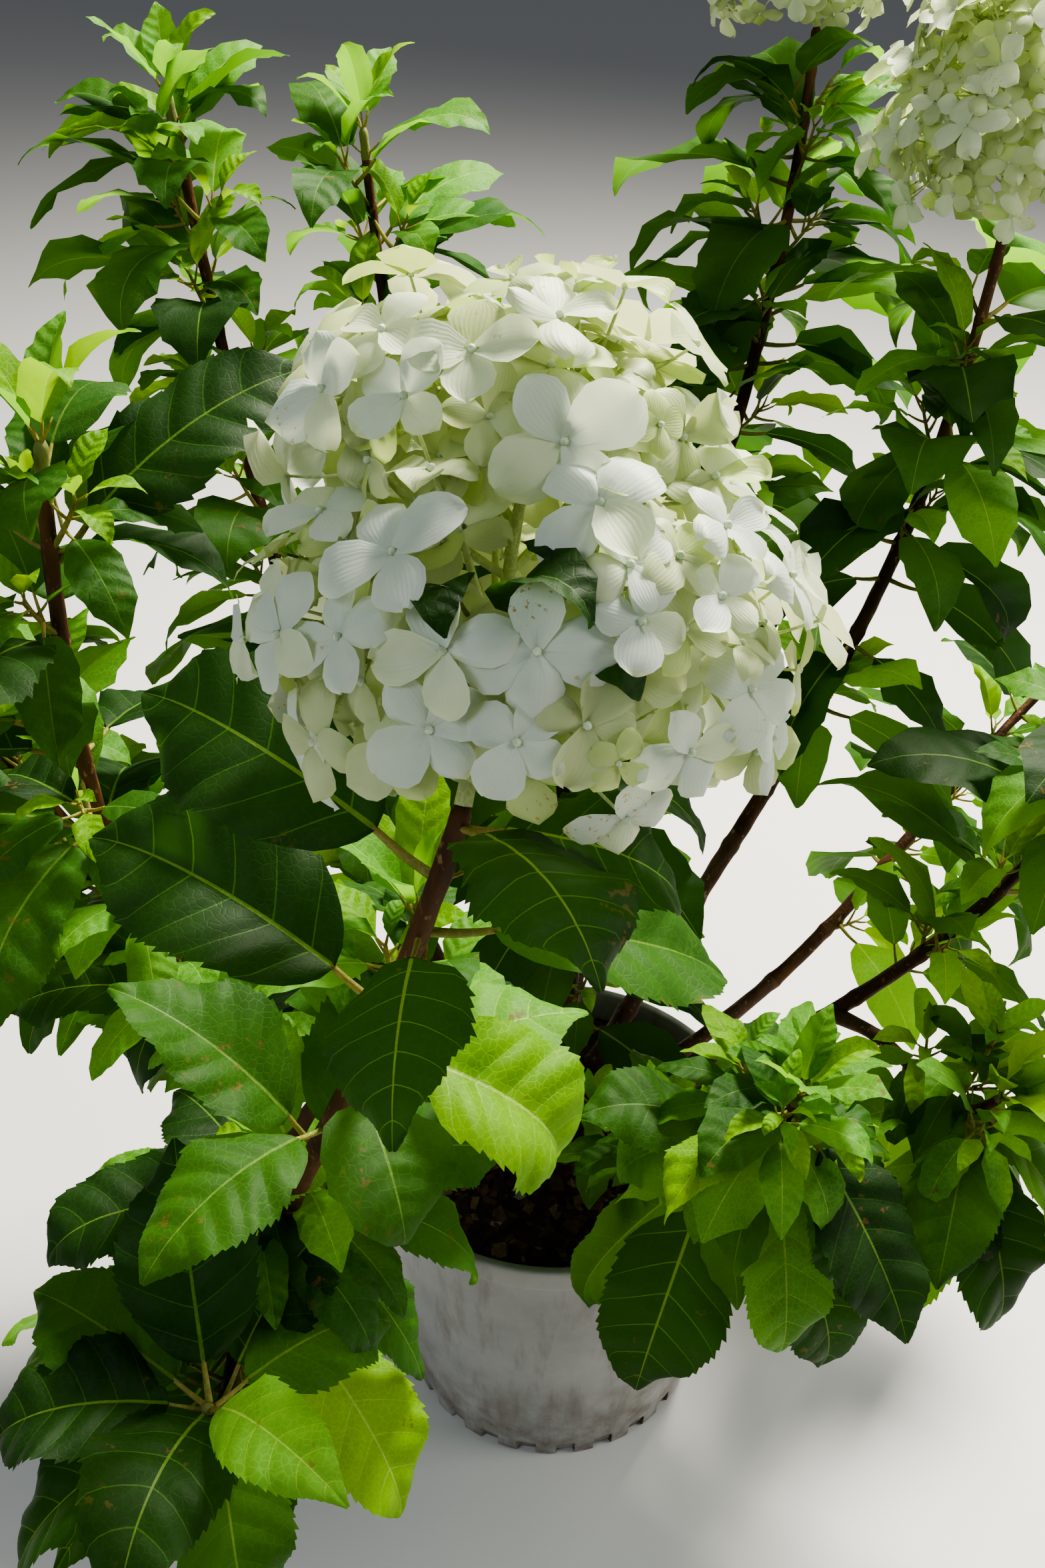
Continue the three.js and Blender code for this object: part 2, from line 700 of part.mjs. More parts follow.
// A straight three-sided stalk between two points, thinner at its far end.
function stalkSolid(from, to, fromRadius, toRadius, sides = 3) {
  const direction = to.clone().sub(from).normalize();
  const hint = Math.abs(direction.z) > 0.9 ? V(1, 0, 0) : UP;
  const across = hint.clone().cross(direction).normalize();
  const outward = direction.clone().cross(across);
  const ring = (point, radius) =>
    Array.from({ length: sides }, (_, k) => {
      const angle = (k * 2 * Math.PI) / sides;
      return point
        .clone()
        .addScaledVector(across, radius * Math.cos(angle))
        .addScaledVector(outward, radius * Math.sin(angle));
    });
  return loft([ring(from, fromRadius), ring(to, toRadius)]);
}

// The knot at a side branch's end, from which its florets' stalks spread.
function knot(centre) {
  return solidOf(new THREE.OctahedronGeometry(3.4).translate(centre.x, centre.y, centre.z));
}

// The rays along which a head's side branches grow.
function branchRays(count) {
  const golden = Math.PI * (3 - Math.sqrt(5));
  return Array.from({ length: count }, (_, i) => {
    const z = 1 - (1.72 * (i + 0.5)) / count;
    const level = Math.sqrt(1 - z * z);
    return V(level * Math.cos(golden * i), level * Math.sin(golden * i), z);
  });
}

// A head in its own frame, turned and moved to its place.
function placeHead(bloom, solid) {
  const frame = new THREE.Matrix4().makeBasis(
    turnToWorld(bloom, V(1, 0, 0)).multiplyScalar(bloom.scale),
    turnToWorld(bloom, V(0, 1, 0)).multiplyScalar(bloom.scale),
    turnToWorld(bloom, V(0, 0, 1)).multiplyScalar(bloom.scale),
  );
  frame.setPosition(bloom.centre);
  return solid.transform(frame.elements);
}

// A head: main stalk, side branches, a stalk to each floret, and the florets.
function bloomSolid(bloom, index) {
  const solids = [stalkSolid(HEAD_FOOT, HEAD_TOP, ...HEAD_STALK, 6)];
  const branches = branchRays(bloom.branches).map((ray) => {
    const end = headSurface(ray).point.multiplyScalar(0.58);
    const share = THREE.MathUtils.clamp((end.z - HEAD_FOOT.z - 26) / 128, 0.06, 0.92);
    const start = HEAD_FOOT.clone().lerp(HEAD_TOP, share);
    solids.push(stalkSolid(start, end, 1.9, 1.5), knot(end));
    return end;
  });
  floretsOf(bloom, index).forEach((floret) => {
    const nearest = branches.reduce((best, end) =>
      end.distanceTo(floret.point) < best.distanceTo(floret.point) ? end : best,
    );
    solids.push(floretSolid(nearest, floret, floret.placed));
  });
  return placeHead(bloom, fuse(solids));
}

// The room that a head's main stalk takes up, with the fit gap all round.
function headStalkRoom(bloom) {
  const down = HEAD_FOOT.clone().sub(HEAD_TOP).normalize();
  const foot = HEAD_FOOT.clone().addScaledVector(down, FIT_GAP / bloom.scale);
  const [low, high] = HEAD_STALK.map((radius) => radius + FIT_GAP / bloom.scale);
  return placeHead(bloom, stalkSolid(foot, HEAD_TOP, low, high, 6));
}

// Colours and finishes
const FINISH = {
  pot: { color: 0xd8d6d2, roughness: 0.55 },
  mix: { color: 0x2e2119, roughness: 1 },
  bark: { color: 0x5a3420, roughness: 0.8 },
  leaf: { color: 0x2f6b1c, roughness: 0.5 },
  sepal: { color: 0xeef0dc, roughness: 0.6 },
};

const shrub = new THREE.Group();

function add(name, solid, finish) {
  const material = new THREE.MeshStandardMaterial({ ...FINISH[finish], metalness: 0 });
  const mesh = new THREE.Mesh(geometryOf(solid), material);
  mesh.name = name;
  shrub.add(mesh);
}

// Assembly
const routes = [];
const byName = {};
STEMS.forEach((stem) => {
  const route = routeOf(stem, byName);
  byName[stem.name] = route;
  routes.push(route);
});
const blooms = BLOOMS.map((spec) => bloomOf(spec, routes));

add("pot", pot(), "pot");
add("potting_mix", pottingMix(), "mix");
add("stump", stump(), "bark");

const limbOf = (route, extra = 0) =>
  limb(route, 0, route.length * route.stem.bare, 8, 6, extra);
const stumpRoom = stump(FIT_GAP);

routes.forEach((route, index) => {
  const { stem, length } = route;
  const parentRoom = stem.parent ? limbOf(byName[stem.parent], FIT_GAP) : stumpRoom;
  add(`stem_${stem.name}`, fuse([limbOf(route).subtract(parentRoom)]), "bark");

  const shoot = limb(route, length * stem.bare + FIT_GAP, length, 5, 6);
  const placed = (PLACED_LEAVES[stem.name] ?? []).map(placedLeaf(route));
  const kept = ruledLeaves(route, index).filter((leaf) =>
    inOwnSpace(leaf, route, routes, blooms),
  );
  let mass = fuse([shoot, ...[...placed, ...kept].map(leafSolid)]);
  const bloom = blooms.find((head) => head.stem === stem.name);
  if (bloom) mass = fuse([mass.subtract(headStalkRoom(bloom))]);
  add(`leaves_${stem.name}`, mass, "leaf");
});

blooms.forEach((bloom, index) => {
  add(`bloom_${bloom.stem}`, bloomSolid(bloom, index), "sepal");
});

function placedLeaf(route) {
  return ([below, azimuth, rise, length, width, bend, roll]) => ({
    root: along(route, route.length - below).point,
    heading: [azimuth, rise],
    length,
    width,
    bend,
    roll,
  });
}

export default shrub;
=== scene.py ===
import math

import bpy
import numpy as np
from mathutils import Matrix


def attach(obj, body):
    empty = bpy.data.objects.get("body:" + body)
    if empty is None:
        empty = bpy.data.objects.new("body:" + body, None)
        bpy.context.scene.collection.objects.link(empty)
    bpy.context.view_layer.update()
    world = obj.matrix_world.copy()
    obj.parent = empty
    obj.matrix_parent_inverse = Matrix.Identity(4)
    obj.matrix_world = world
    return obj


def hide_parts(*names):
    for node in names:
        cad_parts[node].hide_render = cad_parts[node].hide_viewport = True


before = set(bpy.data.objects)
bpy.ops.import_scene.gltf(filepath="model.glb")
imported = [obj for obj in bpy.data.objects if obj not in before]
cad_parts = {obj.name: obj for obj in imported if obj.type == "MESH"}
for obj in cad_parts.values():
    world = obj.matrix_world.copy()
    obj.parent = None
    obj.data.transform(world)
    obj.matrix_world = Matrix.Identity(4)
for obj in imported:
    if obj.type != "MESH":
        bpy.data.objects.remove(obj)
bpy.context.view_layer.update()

# The view and the studio: the eye looks down at the front flower head from a metre up,
# over a plain pale floor. A warm lamp behind the plant lights the leaves from the back,
# and two broad, weaker ones stand on the eye's side and at the right.

EYE = (-0.022, -0.759, 1.031)
LOOK_DOWN = 34
FLOOR_REACH = 9
FLOOR_DROP = 0.0006

camera_data = bpy.data.cameras.new("camera")
camera_data.lens = 35
camera_data.sensor_width = 36
camera_data.clip_start = 0.01
camera = bpy.data.objects.new("camera", camera_data)
camera.location = EYE
camera.rotation_euler = (math.radians(90 - LOOK_DOWN), 0, 0)
bpy.context.scene.collection.objects.link(camera)
bpy.context.scene.camera = camera


def plain_material(name, colour, roughness, specular=0.5):
    """A material with its colour, roughness and shine set on the shader itself."""
    material = bpy.data.materials.new(name)
    material.use_nodes = True
    shader = material.node_tree.nodes["Principled BSDF"]
    shader.inputs["Base Color"].default_value = (*colour, 1)
    shader.inputs["Roughness"].default_value = roughness
    shader.inputs["Specular IOR Level"].default_value = specular
    return material


def studio_lamp(name, place, aim, size, watts, colour):
    """A square area lamp at a place, turned towards the aim."""
    data = bpy.data.lights.new(name, "AREA")
    data.size = size
    data.energy = watts
    data.color = colour
    lamp = bpy.data.objects.new(name, data)
    lamp.location = place
    way = np.array(aim) - np.array(place)
    tilt = math.atan2(math.hypot(way[0], way[1]), -way[2])
    lamp.rotation_euler = (tilt, 0, math.atan2(way[0], -way[1]) + math.pi)
    bpy.context.scene.collection.objects.link(lamp)


floor_mesh = bpy.data.meshes.new("floor")
floor_corners = [(-1, -1), (1, -1), (1, 1), (-1, 1)]
floor_mesh.from_pydata(
    [(FLOOR_REACH * x, FLOOR_REACH * y, -FLOOR_DROP) for x, y in floor_corners], [], [(0, 1, 2, 3)]
)
floor_mesh.materials.append(plain_material("floor", (0.62, 0.62, 0.61), 0.85))
floor_piece = bpy.data.objects.new("floor", floor_mesh)
bpy.context.scene.collection.objects.link(floor_piece)

studio_lamp("sun_side", (0.8, 1.15, 2.6), (0, 0, 0.6), 0.5, 270, (1.0, 0.94, 0.82))
studio_lamp("eye_side", (-1.5, -1.7, 2.1), (0, 0, 0.5), 1.0, 21, (0.90, 0.95, 1.0))
studio_lamp("right_side", (2.0, -0.5, 1.9), (0, 0, 0.4), 1.0, 31, (1.0, 0.97, 0.90))
world = bpy.data.worlds.new("studio")
world.use_nodes = True
world.node_tree.nodes["Background"].inputs["Color"].default_value = (0.83, 0.87, 0.92, 1)
world.node_tree.nodes["Background"].inputs["Strength"].default_value = 0.17
bpy.context.scene.world = world
bpy.context.scene.view_settings.look = "AgX - Medium High Contrast"

# The pot: one injection-moulded shell of off-white polypropylene, with a turned-over rim
# and a ring of drain notches round its foot. It is scuffed, and stained by earth low down.

POT_HEIGHT = 0.240
POT_BASE_RADIUS = 0.108
POT_MOUTH_RADIUS = 0.132
POT_WALL = 0.0025
NOTCHES = 24
NOTCH_WIDTH = 0.0115
NOTCH_HEIGHT = 0.0125
NOTCH_DEPTH = 0.011
NOTCH_ROUNDING = 0.0012
POT_COLUMNS = NOTCHES * 16
OUT_OF_ROUND = 0.0004


def wavy(points, scale, seed, waves=18):
    """A smooth random height at each point: a sum of plane waves of seeded direction and
    phase, about `scale` long, between about -1 and 1."""
    spread = np.random.default_rng(seed)
    ways = spread.normal(size=(waves, points.shape[-1]))
    ways /= np.linalg.norm(ways, axis=1, keepdims=True)
    rates = 2 * np.pi / scale * spread.uniform(0.6, 1.6, (waves, 1))
    phases = spread.uniform(0, 2 * np.pi, waves)
    return np.sin(points @ (ways * rates).T + phases).sum(-1) / math.sqrt(waves)


def full_turn(columns):
    """The angles of evenly spaced columns round a full turn."""
    return np.arange(columns) * 2 * np.pi / columns


def turned(radius, turn, height):
    """Points at a radius and a height, turned round the plant's axis."""
    return np.stack([radius * np.cos(turn), radius * np.sin(turn), height + 0 * turn], -1)


def grid_faces(rows, columns, closed_round=False):
    """The quads of a grid of rows by columns, whose columns may close into a ring."""
    across = columns if closed_round else columns - 1
    row, column = np.meshgrid(np.arange(rows - 1), np.arange(across), indexing="ij")
    beside = (column + 1) % columns
    start, above = row * columns, (row + 1) * columns
    return np.stack([start + column, start + beside, above + beside, above + column], -1).reshape(-1, 4)


def new_piece(name, points, faces, materials, marks=None, uv=None):
    """A mesh object at the origin from points in metres and quads. `marks` is each quad's
    place in the list of materials, and `uv` gives each point's own map coordinates."""
    mesh = bpy.data.meshes.new(name)
    loops = faces.ravel().astype(np.int32)
    mesh.vertices.add(len(points))
    mesh.vertices.foreach_set("co", np.asarray(points, np.float32).ravel())
    mesh.loops.add(len(loops))
    mesh.loops.foreach_set("vertex_index", loops)
    mesh.polygons.add(len(faces))
    mesh.polygons.foreach_set("loop_start", np.arange(0, len(loops), 4, dtype=np.int32))
    mesh.polygons.foreach_set("use_smooth", np.ones(len(faces), bool))
    for material in materials:
        mesh.materials.append(material)
    if marks is not None:
        mesh.polygons.foreach_set("material_index", np.asarray(marks, np.int32))
    if uv is not None:
        layer = mesh.uv_layers.new(name="shape")
        layer.data.foreach_set("uv", np.asarray(uv, np.float32)[loops].ravel())
    mesh.update(calc_edges=True)
    mesh.validate()
    piece = bpy.data.objects.new(name, mesh)
    bpy.context.scene.collection.objects.link(piece)
    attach(piece, "root")
    return piece


def pot_wall_radius(height):
    """The outer wall's radius at a height: a straight taper from foot to mouth."""
    return POT_BASE_RADIUS + (POT_MOUTH_RADIUS - POT_BASE_RADIUS) * height / POT_HEIGHT


def pot_surface():
    """The pot's closed profile turned round the axis. Where a notch lies, the foot's points
    are pressed in by the notch's depth, with rounded edges. The wall is a little out of
    round and flat, as thin moulded plastic is. Also tells which quads line the notches,
    which get a dark brown as painted shade."""
    wall = np.concatenate([np.linspace(0.002, 0.0152, 11), np.linspace(0.019, 0.221, 40)])
    outer = [(0.0, 0.0), (0.06, 0.0), (0.1, 0.0), (0.1062, 0.0), (0.1076, 0.0006)]
    outer += [(pot_wall_radius(z), z) for z in wall]
    rim = [
        (0.1315, 0.2218), (0.1345, 0.2222), (0.1363, 0.2232), (0.1369, 0.225),
        (0.137, 0.229), (0.137, 0.2345), (0.1367, 0.2375), (0.1359, 0.2394),
        (0.1346, 0.24), (0.1327, 0.24), (0.1313, 0.2394), (0.1305, 0.238),
    ]
    inner = [(pot_wall_radius(z) - POT_WALL, z) for z in np.linspace(0.232, 0.0045, 26)]
    inner += [(0.05, 0.0042), (0.0, 0.0042)]
    profile = np.array(outer + rim + inner)
    turn = full_turn(POT_COLUMNS)
    radius = np.repeat(profile[:, :1], POT_COLUMNS, 1)
    height = np.repeat(profile[:, 1:], POT_COLUMNS, 1)
    pitch = 2 * np.pi / NOTCHES
    off = np.abs((turn - pitch / 3 + pitch / 2) % pitch - pitch / 2)
    side = np.clip((NOTCH_WIDTH / 2 - off * POT_BASE_RADIUS) / NOTCH_ROUNDING + 0.5, 0, 1)
    lid = np.clip((NOTCH_HEIGHT - height) / NOTCH_ROUNDING + 0.5, 0, 1)
    on_outside = (np.arange(len(profile)) < len(outer))[:, None]
    deep = side * lid * on_outside
    radius = radius + (np.minimum(radius, POT_BASE_RADIUS - NOTCH_DEPTH) - radius) * deep
    deep = deep[:-1] + deep[1:]
    recess = deep + np.roll(deep, -1, 1) > 1.6
    sway = wavy(turned(radius, turn, height).reshape(-1, 3), 0.16, 5).reshape(radius.shape)
    free = np.clip((height - 0.02) / 0.1, 0, 1)
    radius = radius + (OUT_OF_ROUND * sway * free) * (radius > 0.09)
    return turned(radius, turn, height), recess.ravel()


def node(tree, kind, **settings):
    """A new shader node. A setting in capitals is an input, given a number, a colour or
    another node's output that is wired to it. The others are the node's own settings."""
    made = tree.nodes.new(kind)
    for key, value in settings.items():
        if not key[0].isupper():
            setattr(made, key, value)
        elif isinstance(value, bpy.types.NodeSocket):
            tree.links.new(value, made.inputs[key.replace("_", " ")])
        else:
            made.inputs[key.replace("_", " ")].default_value = value
    return made


def stretched(tree, value, low, high, least=0, most=1):
    """A grey value between two limits, stretched to run from the least to the most."""
    limits = dict(From_Min=low, From_Max=high, To_Min=least, To_Max=most)
    return node(tree, "ShaderNodeMapRange", Value=value, **limits).outputs["Result"]


def blotches(tree, scale, low, high, detail=4, squash=(1, 1, 1)):
    """A cloud of grey values on Object coordinates, spread between two limits to 0 and 1."""
    place = node(tree, "ShaderNodeTexCoord").outputs["Object"]
    squashed = node(tree, "ShaderNodeMapping", Vector=place, Scale=squash).outputs["Vector"]
    cloud = node(tree, "ShaderNodeTexNoise", Vector=squashed, Scale=scale, Detail=detail, Roughness=0.6)
    return stretched(tree, cloud.outputs["Fac"], low, high)


def both_of(tree, first, second):
    """Two grey values multiplied, so that it is bright only where both are."""
    product = node(tree, "ShaderNodeMath", operation="MULTIPLY")
    tree.links.new(first, product.inputs[0])
    tree.links.new(second, product.inputs[1])
    return product.outputs[0]


def mixed(tree, share, first, second):
    """A colour between two, each a colour or a socket, by a share that is a socket."""
    mix = node(tree, "ShaderNodeMix", data_type="RGBA", Factor=share)
    for socket, value in ((mix.inputs[6], first), (mix.inputs[7], second)):
        if isinstance(value, tuple):
            socket.default_value = (*value, 1)
        else:
            tree.links.new(value, socket)
    return mix.outputs[2]


def relief(tree, height, depth, strength, under=(0, 0, 0)):
    """Relief from a grey value, `depth` metres high, as a normal, over the relief under it."""
    bump = node(tree, "ShaderNodeBump", Height=height, Distance=depth, Strength=strength, Normal=under)
    return bump.outputs["Normal"]


def painted(material, colour, normal):
    """Wires a colour and a relief to a material's shader."""
    shader = material.node_tree.nodes["Principled BSDF"]
    material.node_tree.links.new(colour, shader.inputs["Base Color"])
    material.node_tree.links.new(normal, shader.inputs["Normal"])
    return material


def pot_plastic():
    """Off-white plastic, coloured a darker grey as painted shade from the plant above it:
    faint clouds of grey, fine scuffs in its gloss, and a brown stain that fades upwards
    from the foot, with a few specks of earth."""
    material = plain_material("pot_plastic", (0.6, 0.6, 0.57), 0.5)
    tree = material.node_tree
    # Both greys are far darker than the off-white plastic: painted shade from the plant over the whole pot.
    colour = mixed(tree, blotches(tree, 14, 0.35, 0.7), (0.31, 0.312, 0.297), (0.42, 0.42, 0.406))
    streaks = blotches(tree, 60, 0.52, 0.74, 6, (1, 1, 0.16))
    colour = mixed(tree, streaks, colour, (0.22, 0.205, 0.175))
    place = node(tree, "ShaderNodeTexCoord").outputs["Object"]
    height = node(tree, "ShaderNodeSeparateXYZ", Vector=place).outputs["Z"]
    stain = both_of(tree, stretched(tree, height, 0.11, 0.0), blotches(tree, 46, 0.36, 0.66, 7))
    colour = mixed(tree, stain, colour, (0.14, 0.098, 0.062))
    colour = mixed(tree, blotches(tree, 240, 0.66, 0.74, 3), colour, (0.42, 0.36, 0.28))
    gloss = stretched(tree, blotches(tree, 90, 0.3, 0.7, 6, (1, 1, 0.2)), 0, 1, 0.42, 0.68)
    tree.links.new(gloss, tree.nodes["Principled BSDF"].inputs["Roughness"])
    return painted(material, colour, relief(tree, blotches(tree, 420, 0.2, 0.8, 3), 0.0002, 0.35))


def earth_and_shade(name, dark, light):
    """Crumbly matter, also the painted shade in the pot's notches: two browns in clouds,
    with a fine rough grain.
    """
    material = plain_material(name, dark, 0.95, 0.25)
    tree = material.node_tree
    colour = mixed(tree, blotches(tree, 130, 0.3, 0.72, 6), dark, light)
    return painted(material, colour, relief(tree, blotches(tree, 900, 0.2, 0.8, 5), 0.0006, 0.8))


pot_points, pot_recess = pot_surface()
pot_piece = new_piece(
    "pot_shell",
    pot_points.reshape(-1, 3),
    grid_faces(len(pot_points), POT_COLUMNS, True),
    # The notches are lined with a dark brown: painted shade in the recesses at the pot's foot.
    [pot_plastic(), earth_and_shade("notch_painted_shade", (0.035, 0.026, 0.018), (0.11, 0.085, 0.06))],
    pot_recess,
)
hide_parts("pot")

# The potting mix: moist composted bark and peat, filled to a finger below the rim and
# sunk a little round the edge.

MIX_LEVEL = 0.224
MIX_EDGE_LEVEL = 0.216
MIX_RADIUS = 0.1272
MIX_COLUMNS = 192
MIX_RINGS = 60


def mix_height(x, y):
    """A low dome, level in the middle, with lumps a centimetre or two across."""
    levels = [MIX_LEVEL, MIX_LEVEL, MIX_LEVEL - 0.003, MIX_EDGE_LEVEL]
    dome = np.interp(np.hypot(x, y), [0, 0.058, 0.095, MIX_RADIUS], levels)
    spot = np.stack([x, y], -1)
    return dome + 0.0016 * wavy(spot, 0.022, 11) + 0.0007 * wavy(spot, 0.007, 12)


def mix_surface():
    """Rings of points out to the wall, then down it and closed under the mix."""
    turn = full_turn(MIX_COLUMNS)
    radius = np.linspace(0, 1, MIX_RINGS) ** 0.8 * MIX_RADIUS
    x, y = radius[:, None] * np.cos(turn), radius[:, None] * np.sin(turn)
    rings = [np.stack([x, y, mix_height(x, y)], -1)[::-1]]
    for ring, level in ((0.1258, 0.205), (0.1055, 0.0048), (0.0, 0.0048)):
        rings.insert(0, turned(ring, turn, level)[None])
    return np.concatenate(rings)


mix_points = mix_surface()
mix_piece = new_piece(
    "mix_bed",
    mix_points.reshape(-1, 3),
    grid_faces(len(mix_points), MIX_COLUMNS, True),
    [earth_and_shade("peat", (0.022, 0.014, 0.010), (0.075, 0.045, 0.028))],
)
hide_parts("potting_mix")

# The bark chips: shreds of composted bark of four browns, most of them dark. They lie
# loose on the mix, half sunk into it.

CHIPS = 1500
CHIP_LONGEST = 0.011


def chips_on_mix():
    """Each chip is a box whose corners are shaken, turned at random and half sunk in."""
    spread = np.random.default_rng(21)
    radius = MIX_RADIUS * 0.955 * np.sqrt(spread.uniform(0.02, 1, CHIPS))
    turn = spread.uniform(0, 2 * np.pi, CHIPS)
    x, y = radius * np.cos(turn), radius * np.sin(turn)
    size = spread.gamma(2.2, 0.0017, (CHIPS, 1)) + 0.0014
    ratios = ((1.1, 2.4), (0.6, 1.1), (0.3, 0.6))
    sides = size * np.stack([spread.uniform(least, most, CHIPS) for least, most in ratios], 1)
    sides = np.minimum(sides, CHIP_LONGEST)
    corner = np.array([(i, j, k) for k in (-1, 1) for j in (-1, 1) for i in (-1, 1)], float)
    shape = corner * (1 + spread.uniform(-0.3, 0.15, (CHIPS, 8, 3))) * sides[:, None] / 2
    spin = spread.uniform(0, 2 * np.pi, CHIPS)
    lean = spread.normal(0, 0.35, (2, CHIPS))
    east = np.stack([np.cos(spin), np.sin(spin), lean[0]], 1)
    north = np.stack([-np.sin(spin), np.cos(spin), lean[1]], 1)
    axes = np.stack([east, north, np.cross(east, north)], 1)
    axes /= np.linalg.norm(axes, axis=2, keepdims=True)
    centre = np.stack([x, y, mix_height(x, y) + sides[:, 2] * 0.28], 1)
    points = centre[:, None] + shape @ axes
    box = np.array([(0, 2, 3, 1), (4, 5, 7, 6), (0, 1, 5, 4), (2, 6, 7, 3), (0, 4, 6, 2), (1, 3, 7, 5)])
    faces = box + 8 * np.arange(CHIPS)[:, None, None]
    tint = np.repeat(spread.choice(4, CHIPS, p=[0.5, 0.32, 0.165, 0.015]), 6)
    return points.reshape(-1, 3), faces.reshape(-1, 4), tint


chip_points, chip_faces, chip_tints = chips_on_mix()
chip_browns = [
    earth_and_shade("chip_dark", (0.035, 0.020, 0.013), (0.085, 0.048, 0.028)),
    earth_and_shade("chip_brown", (0.075, 0.040, 0.022), (0.16, 0.085, 0.045)),
    earth_and_shade("chip_tan", (0.16, 0.095, 0.05), (0.30, 0.19, 0.11)),
    earth_and_shade("chip_pale", (0.26, 0.22, 0.17), (0.44, 0.39, 0.32)),
]
chip_piece = new_piece("bark_chips", chip_points, chip_faces, chip_browns, chip_tints)
chip_piece.data.polygons.foreach_set("use_smooth", np.zeros(len(chip_faces), bool))

# The stump: old reddish-brown wood that rises from the mix as one knotty clump, where all
# the stems start. Millimetres from here on, as the plant was measured.

MM = 0.001
MIX_TOP = 224.0
STUMP_HEIGHT = 36.0
STUMP_SIDES = 96
STEM_RING_RADIUS = 25.0
STEM_FOOT_LEVEL = MIX_TOP + 16
# Stems: name, azimuth of the seat on the stump (or the parent stem and the share of its
# length), way at the foot, tip as azimuth, reach and height, way at the tip (ways are azimuth
# and rise), radius at foot and tip, and the share of the length that is bare.
STEM_ROWS = [
    ("front", 262, (225, 24), (264.2, 391, 774), (-5, 75), 7.2, 3.3, 0.62),
    ("fork", ("front", 0.58), (120, 70), (256.4, 282, 641), (150, 70), 4.2, 2.4, 0.24),
    ("low_left", ("front", 0.42), (240, 20), (249.8, 425, 492), (262, 62), 4.8, 2.6, 0.3),
    ("left", 222, (205, 30), (221.3, 282, 808), (30, 84), 6.4, 3, 0.34),
    ("low_right", 300, (298, 34), (298.4, 245, 478), (300, 74), 5.6, 2.6, 0.36),
    ("right_front", 337, (345, 40), (350, 334, 657), (0, 76), 6, 2.8, 0.42),
    ("right", 12, (18, 22), (27.6, 414, 491), (28, 36), 6.2, 2.8, 0.34),
    ("back_right", 48, (40, 50), (33.3, 316, 804), (50, 80), 6.8, 3.2, 0.34),
    ("back", 84, (76, 56), (63.8, 387, 884), (75, 78), 6.8, 3.2, 0.34),
    ("back_mid", 119, (112, 62), (115.2, 285, 839), (110, 78), 6.4, 2.8, 0.32),
    ("back_left", 153, (145, 50), (137.2, 316, 866), (150, 82), 6.6, 3, 0.32),
    ("inner", 30, (60, 80), (112, 62, 700), (150, 82), 6, 2.8, 0.3),
    ("left_back", 187, (176, 36), (179.5, 369, 641), (170, 72), 6, 2.8, 0.32),
    ("right_low", ("right_front", 0.38), (318, 16), (321, 296, 446), (316, 62), 4.4, 2.4, 0.24),
]


def close_ends(points):
    """The same rings with a ring shrunk onto the centre added at each end."""
    first = np.repeat(points[:1].mean(1, keepdims=True), points.shape[1], 1)
    last = np.repeat(points[-1:].mean(1, keepdims=True), points.shape[1], 1)
    return np.concatenate([first, points, last])


def stump_surface():
    """A knotty mound: rings that narrow upwards, pushed out towards each stem's foot and
    roughened by lumps, closed on top and at the mix."""
    share = np.linspace(0, 1, 26)[:, None]
    turn = full_turn(STUMP_SIDES)
    radius = np.interp(share, [0, 0.12, 0.3, 0.6, 0.85, 0.95, 1], [46, 41.5, 38.5, 36, 30.5, 24, 12])
    seats = [row[1] for row in STEM_ROWS if row[0] != "inner" and not isinstance(row[1], tuple)]
    push = sum(
        np.exp(-((((turn - np.radians(seat) + np.pi) % (2 * np.pi) - np.pi) / 0.2) ** 2)) for seat in seats
    )
    radius = radius * (1 + 0.085 * (push - 0.5) * np.sin(np.pi * share) ** 0.5)
    height = MIX_TOP - 3 + share * (STUMP_HEIGHT + 2.5)
    points = turned(radius, turn, height)
    lumps = wavy(points.reshape(-1, 3), 17, 31).reshape(radius.shape)
    fine = wavy(points.reshape(-1, 3), 5, 32).reshape(radius.shape)
    return points + turned(1, turn, 0) * (1.3 * lumps + 0.5 * fine)[..., None]


def bark(name, dark, light, pale):
    """Thin bark: two browns in streaks, pale corky specks, and a shallow rough relief."""
    material = plain_material(name, dark, 0.7, 0.22)
    tree = material.node_tree
    colour = mixed(tree, blotches(tree, 70, 0.32, 0.68, 6, (1, 1, 0.25)), dark, light)
    colour = mixed(tree, blotches(tree, 330, 0.62, 0.72, 2, (1, 1, 0.5)), colour, pale)
    rough = blotches(tree, 300, 0.25, 0.75, 6, (1, 1, 0.3))
    return painted(material, colour, relief(tree, rough, 0.0009, 0.7))


old_bark = bark("old_bark", (0.050, 0.024, 0.013), (0.135, 0.070, 0.036), (0.26, 0.19, 0.12))
stump_points = close_ends(stump_surface())
stump_faces = grid_faces(len(stump_points), STUMP_SIDES, True)
stump_piece = new_piece("woody_stump", stump_points.reshape(-1, 3) * MM, stump_faces, [old_bark])
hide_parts("stump")

# The woody stems: fourteen limbs that thin upwards from the stump or from another stem,
# swollen at their old leaf scars. The bark is brown low down, redder above, and green at
# the tip of a shoot that has no flower head.

ROUTE_STEPS = 24
PULL = (0.42, 0.4)
FRONT_PULL = (0.546, 0.369)
INNER_SEAT = 0.2
BLOOMING = ("front", "back_right", "back")
LIMB_SIDES = 14
LIMB_STEP = 3.2
SCAR_GAP = 46
SCAR_LENGTH = 3.4
UP = np.array([0.0, 0.0, 1.0])
WORD = 0xFFFFFFFF
PLACED_REACH = {"front": 240, "low_left": 70}


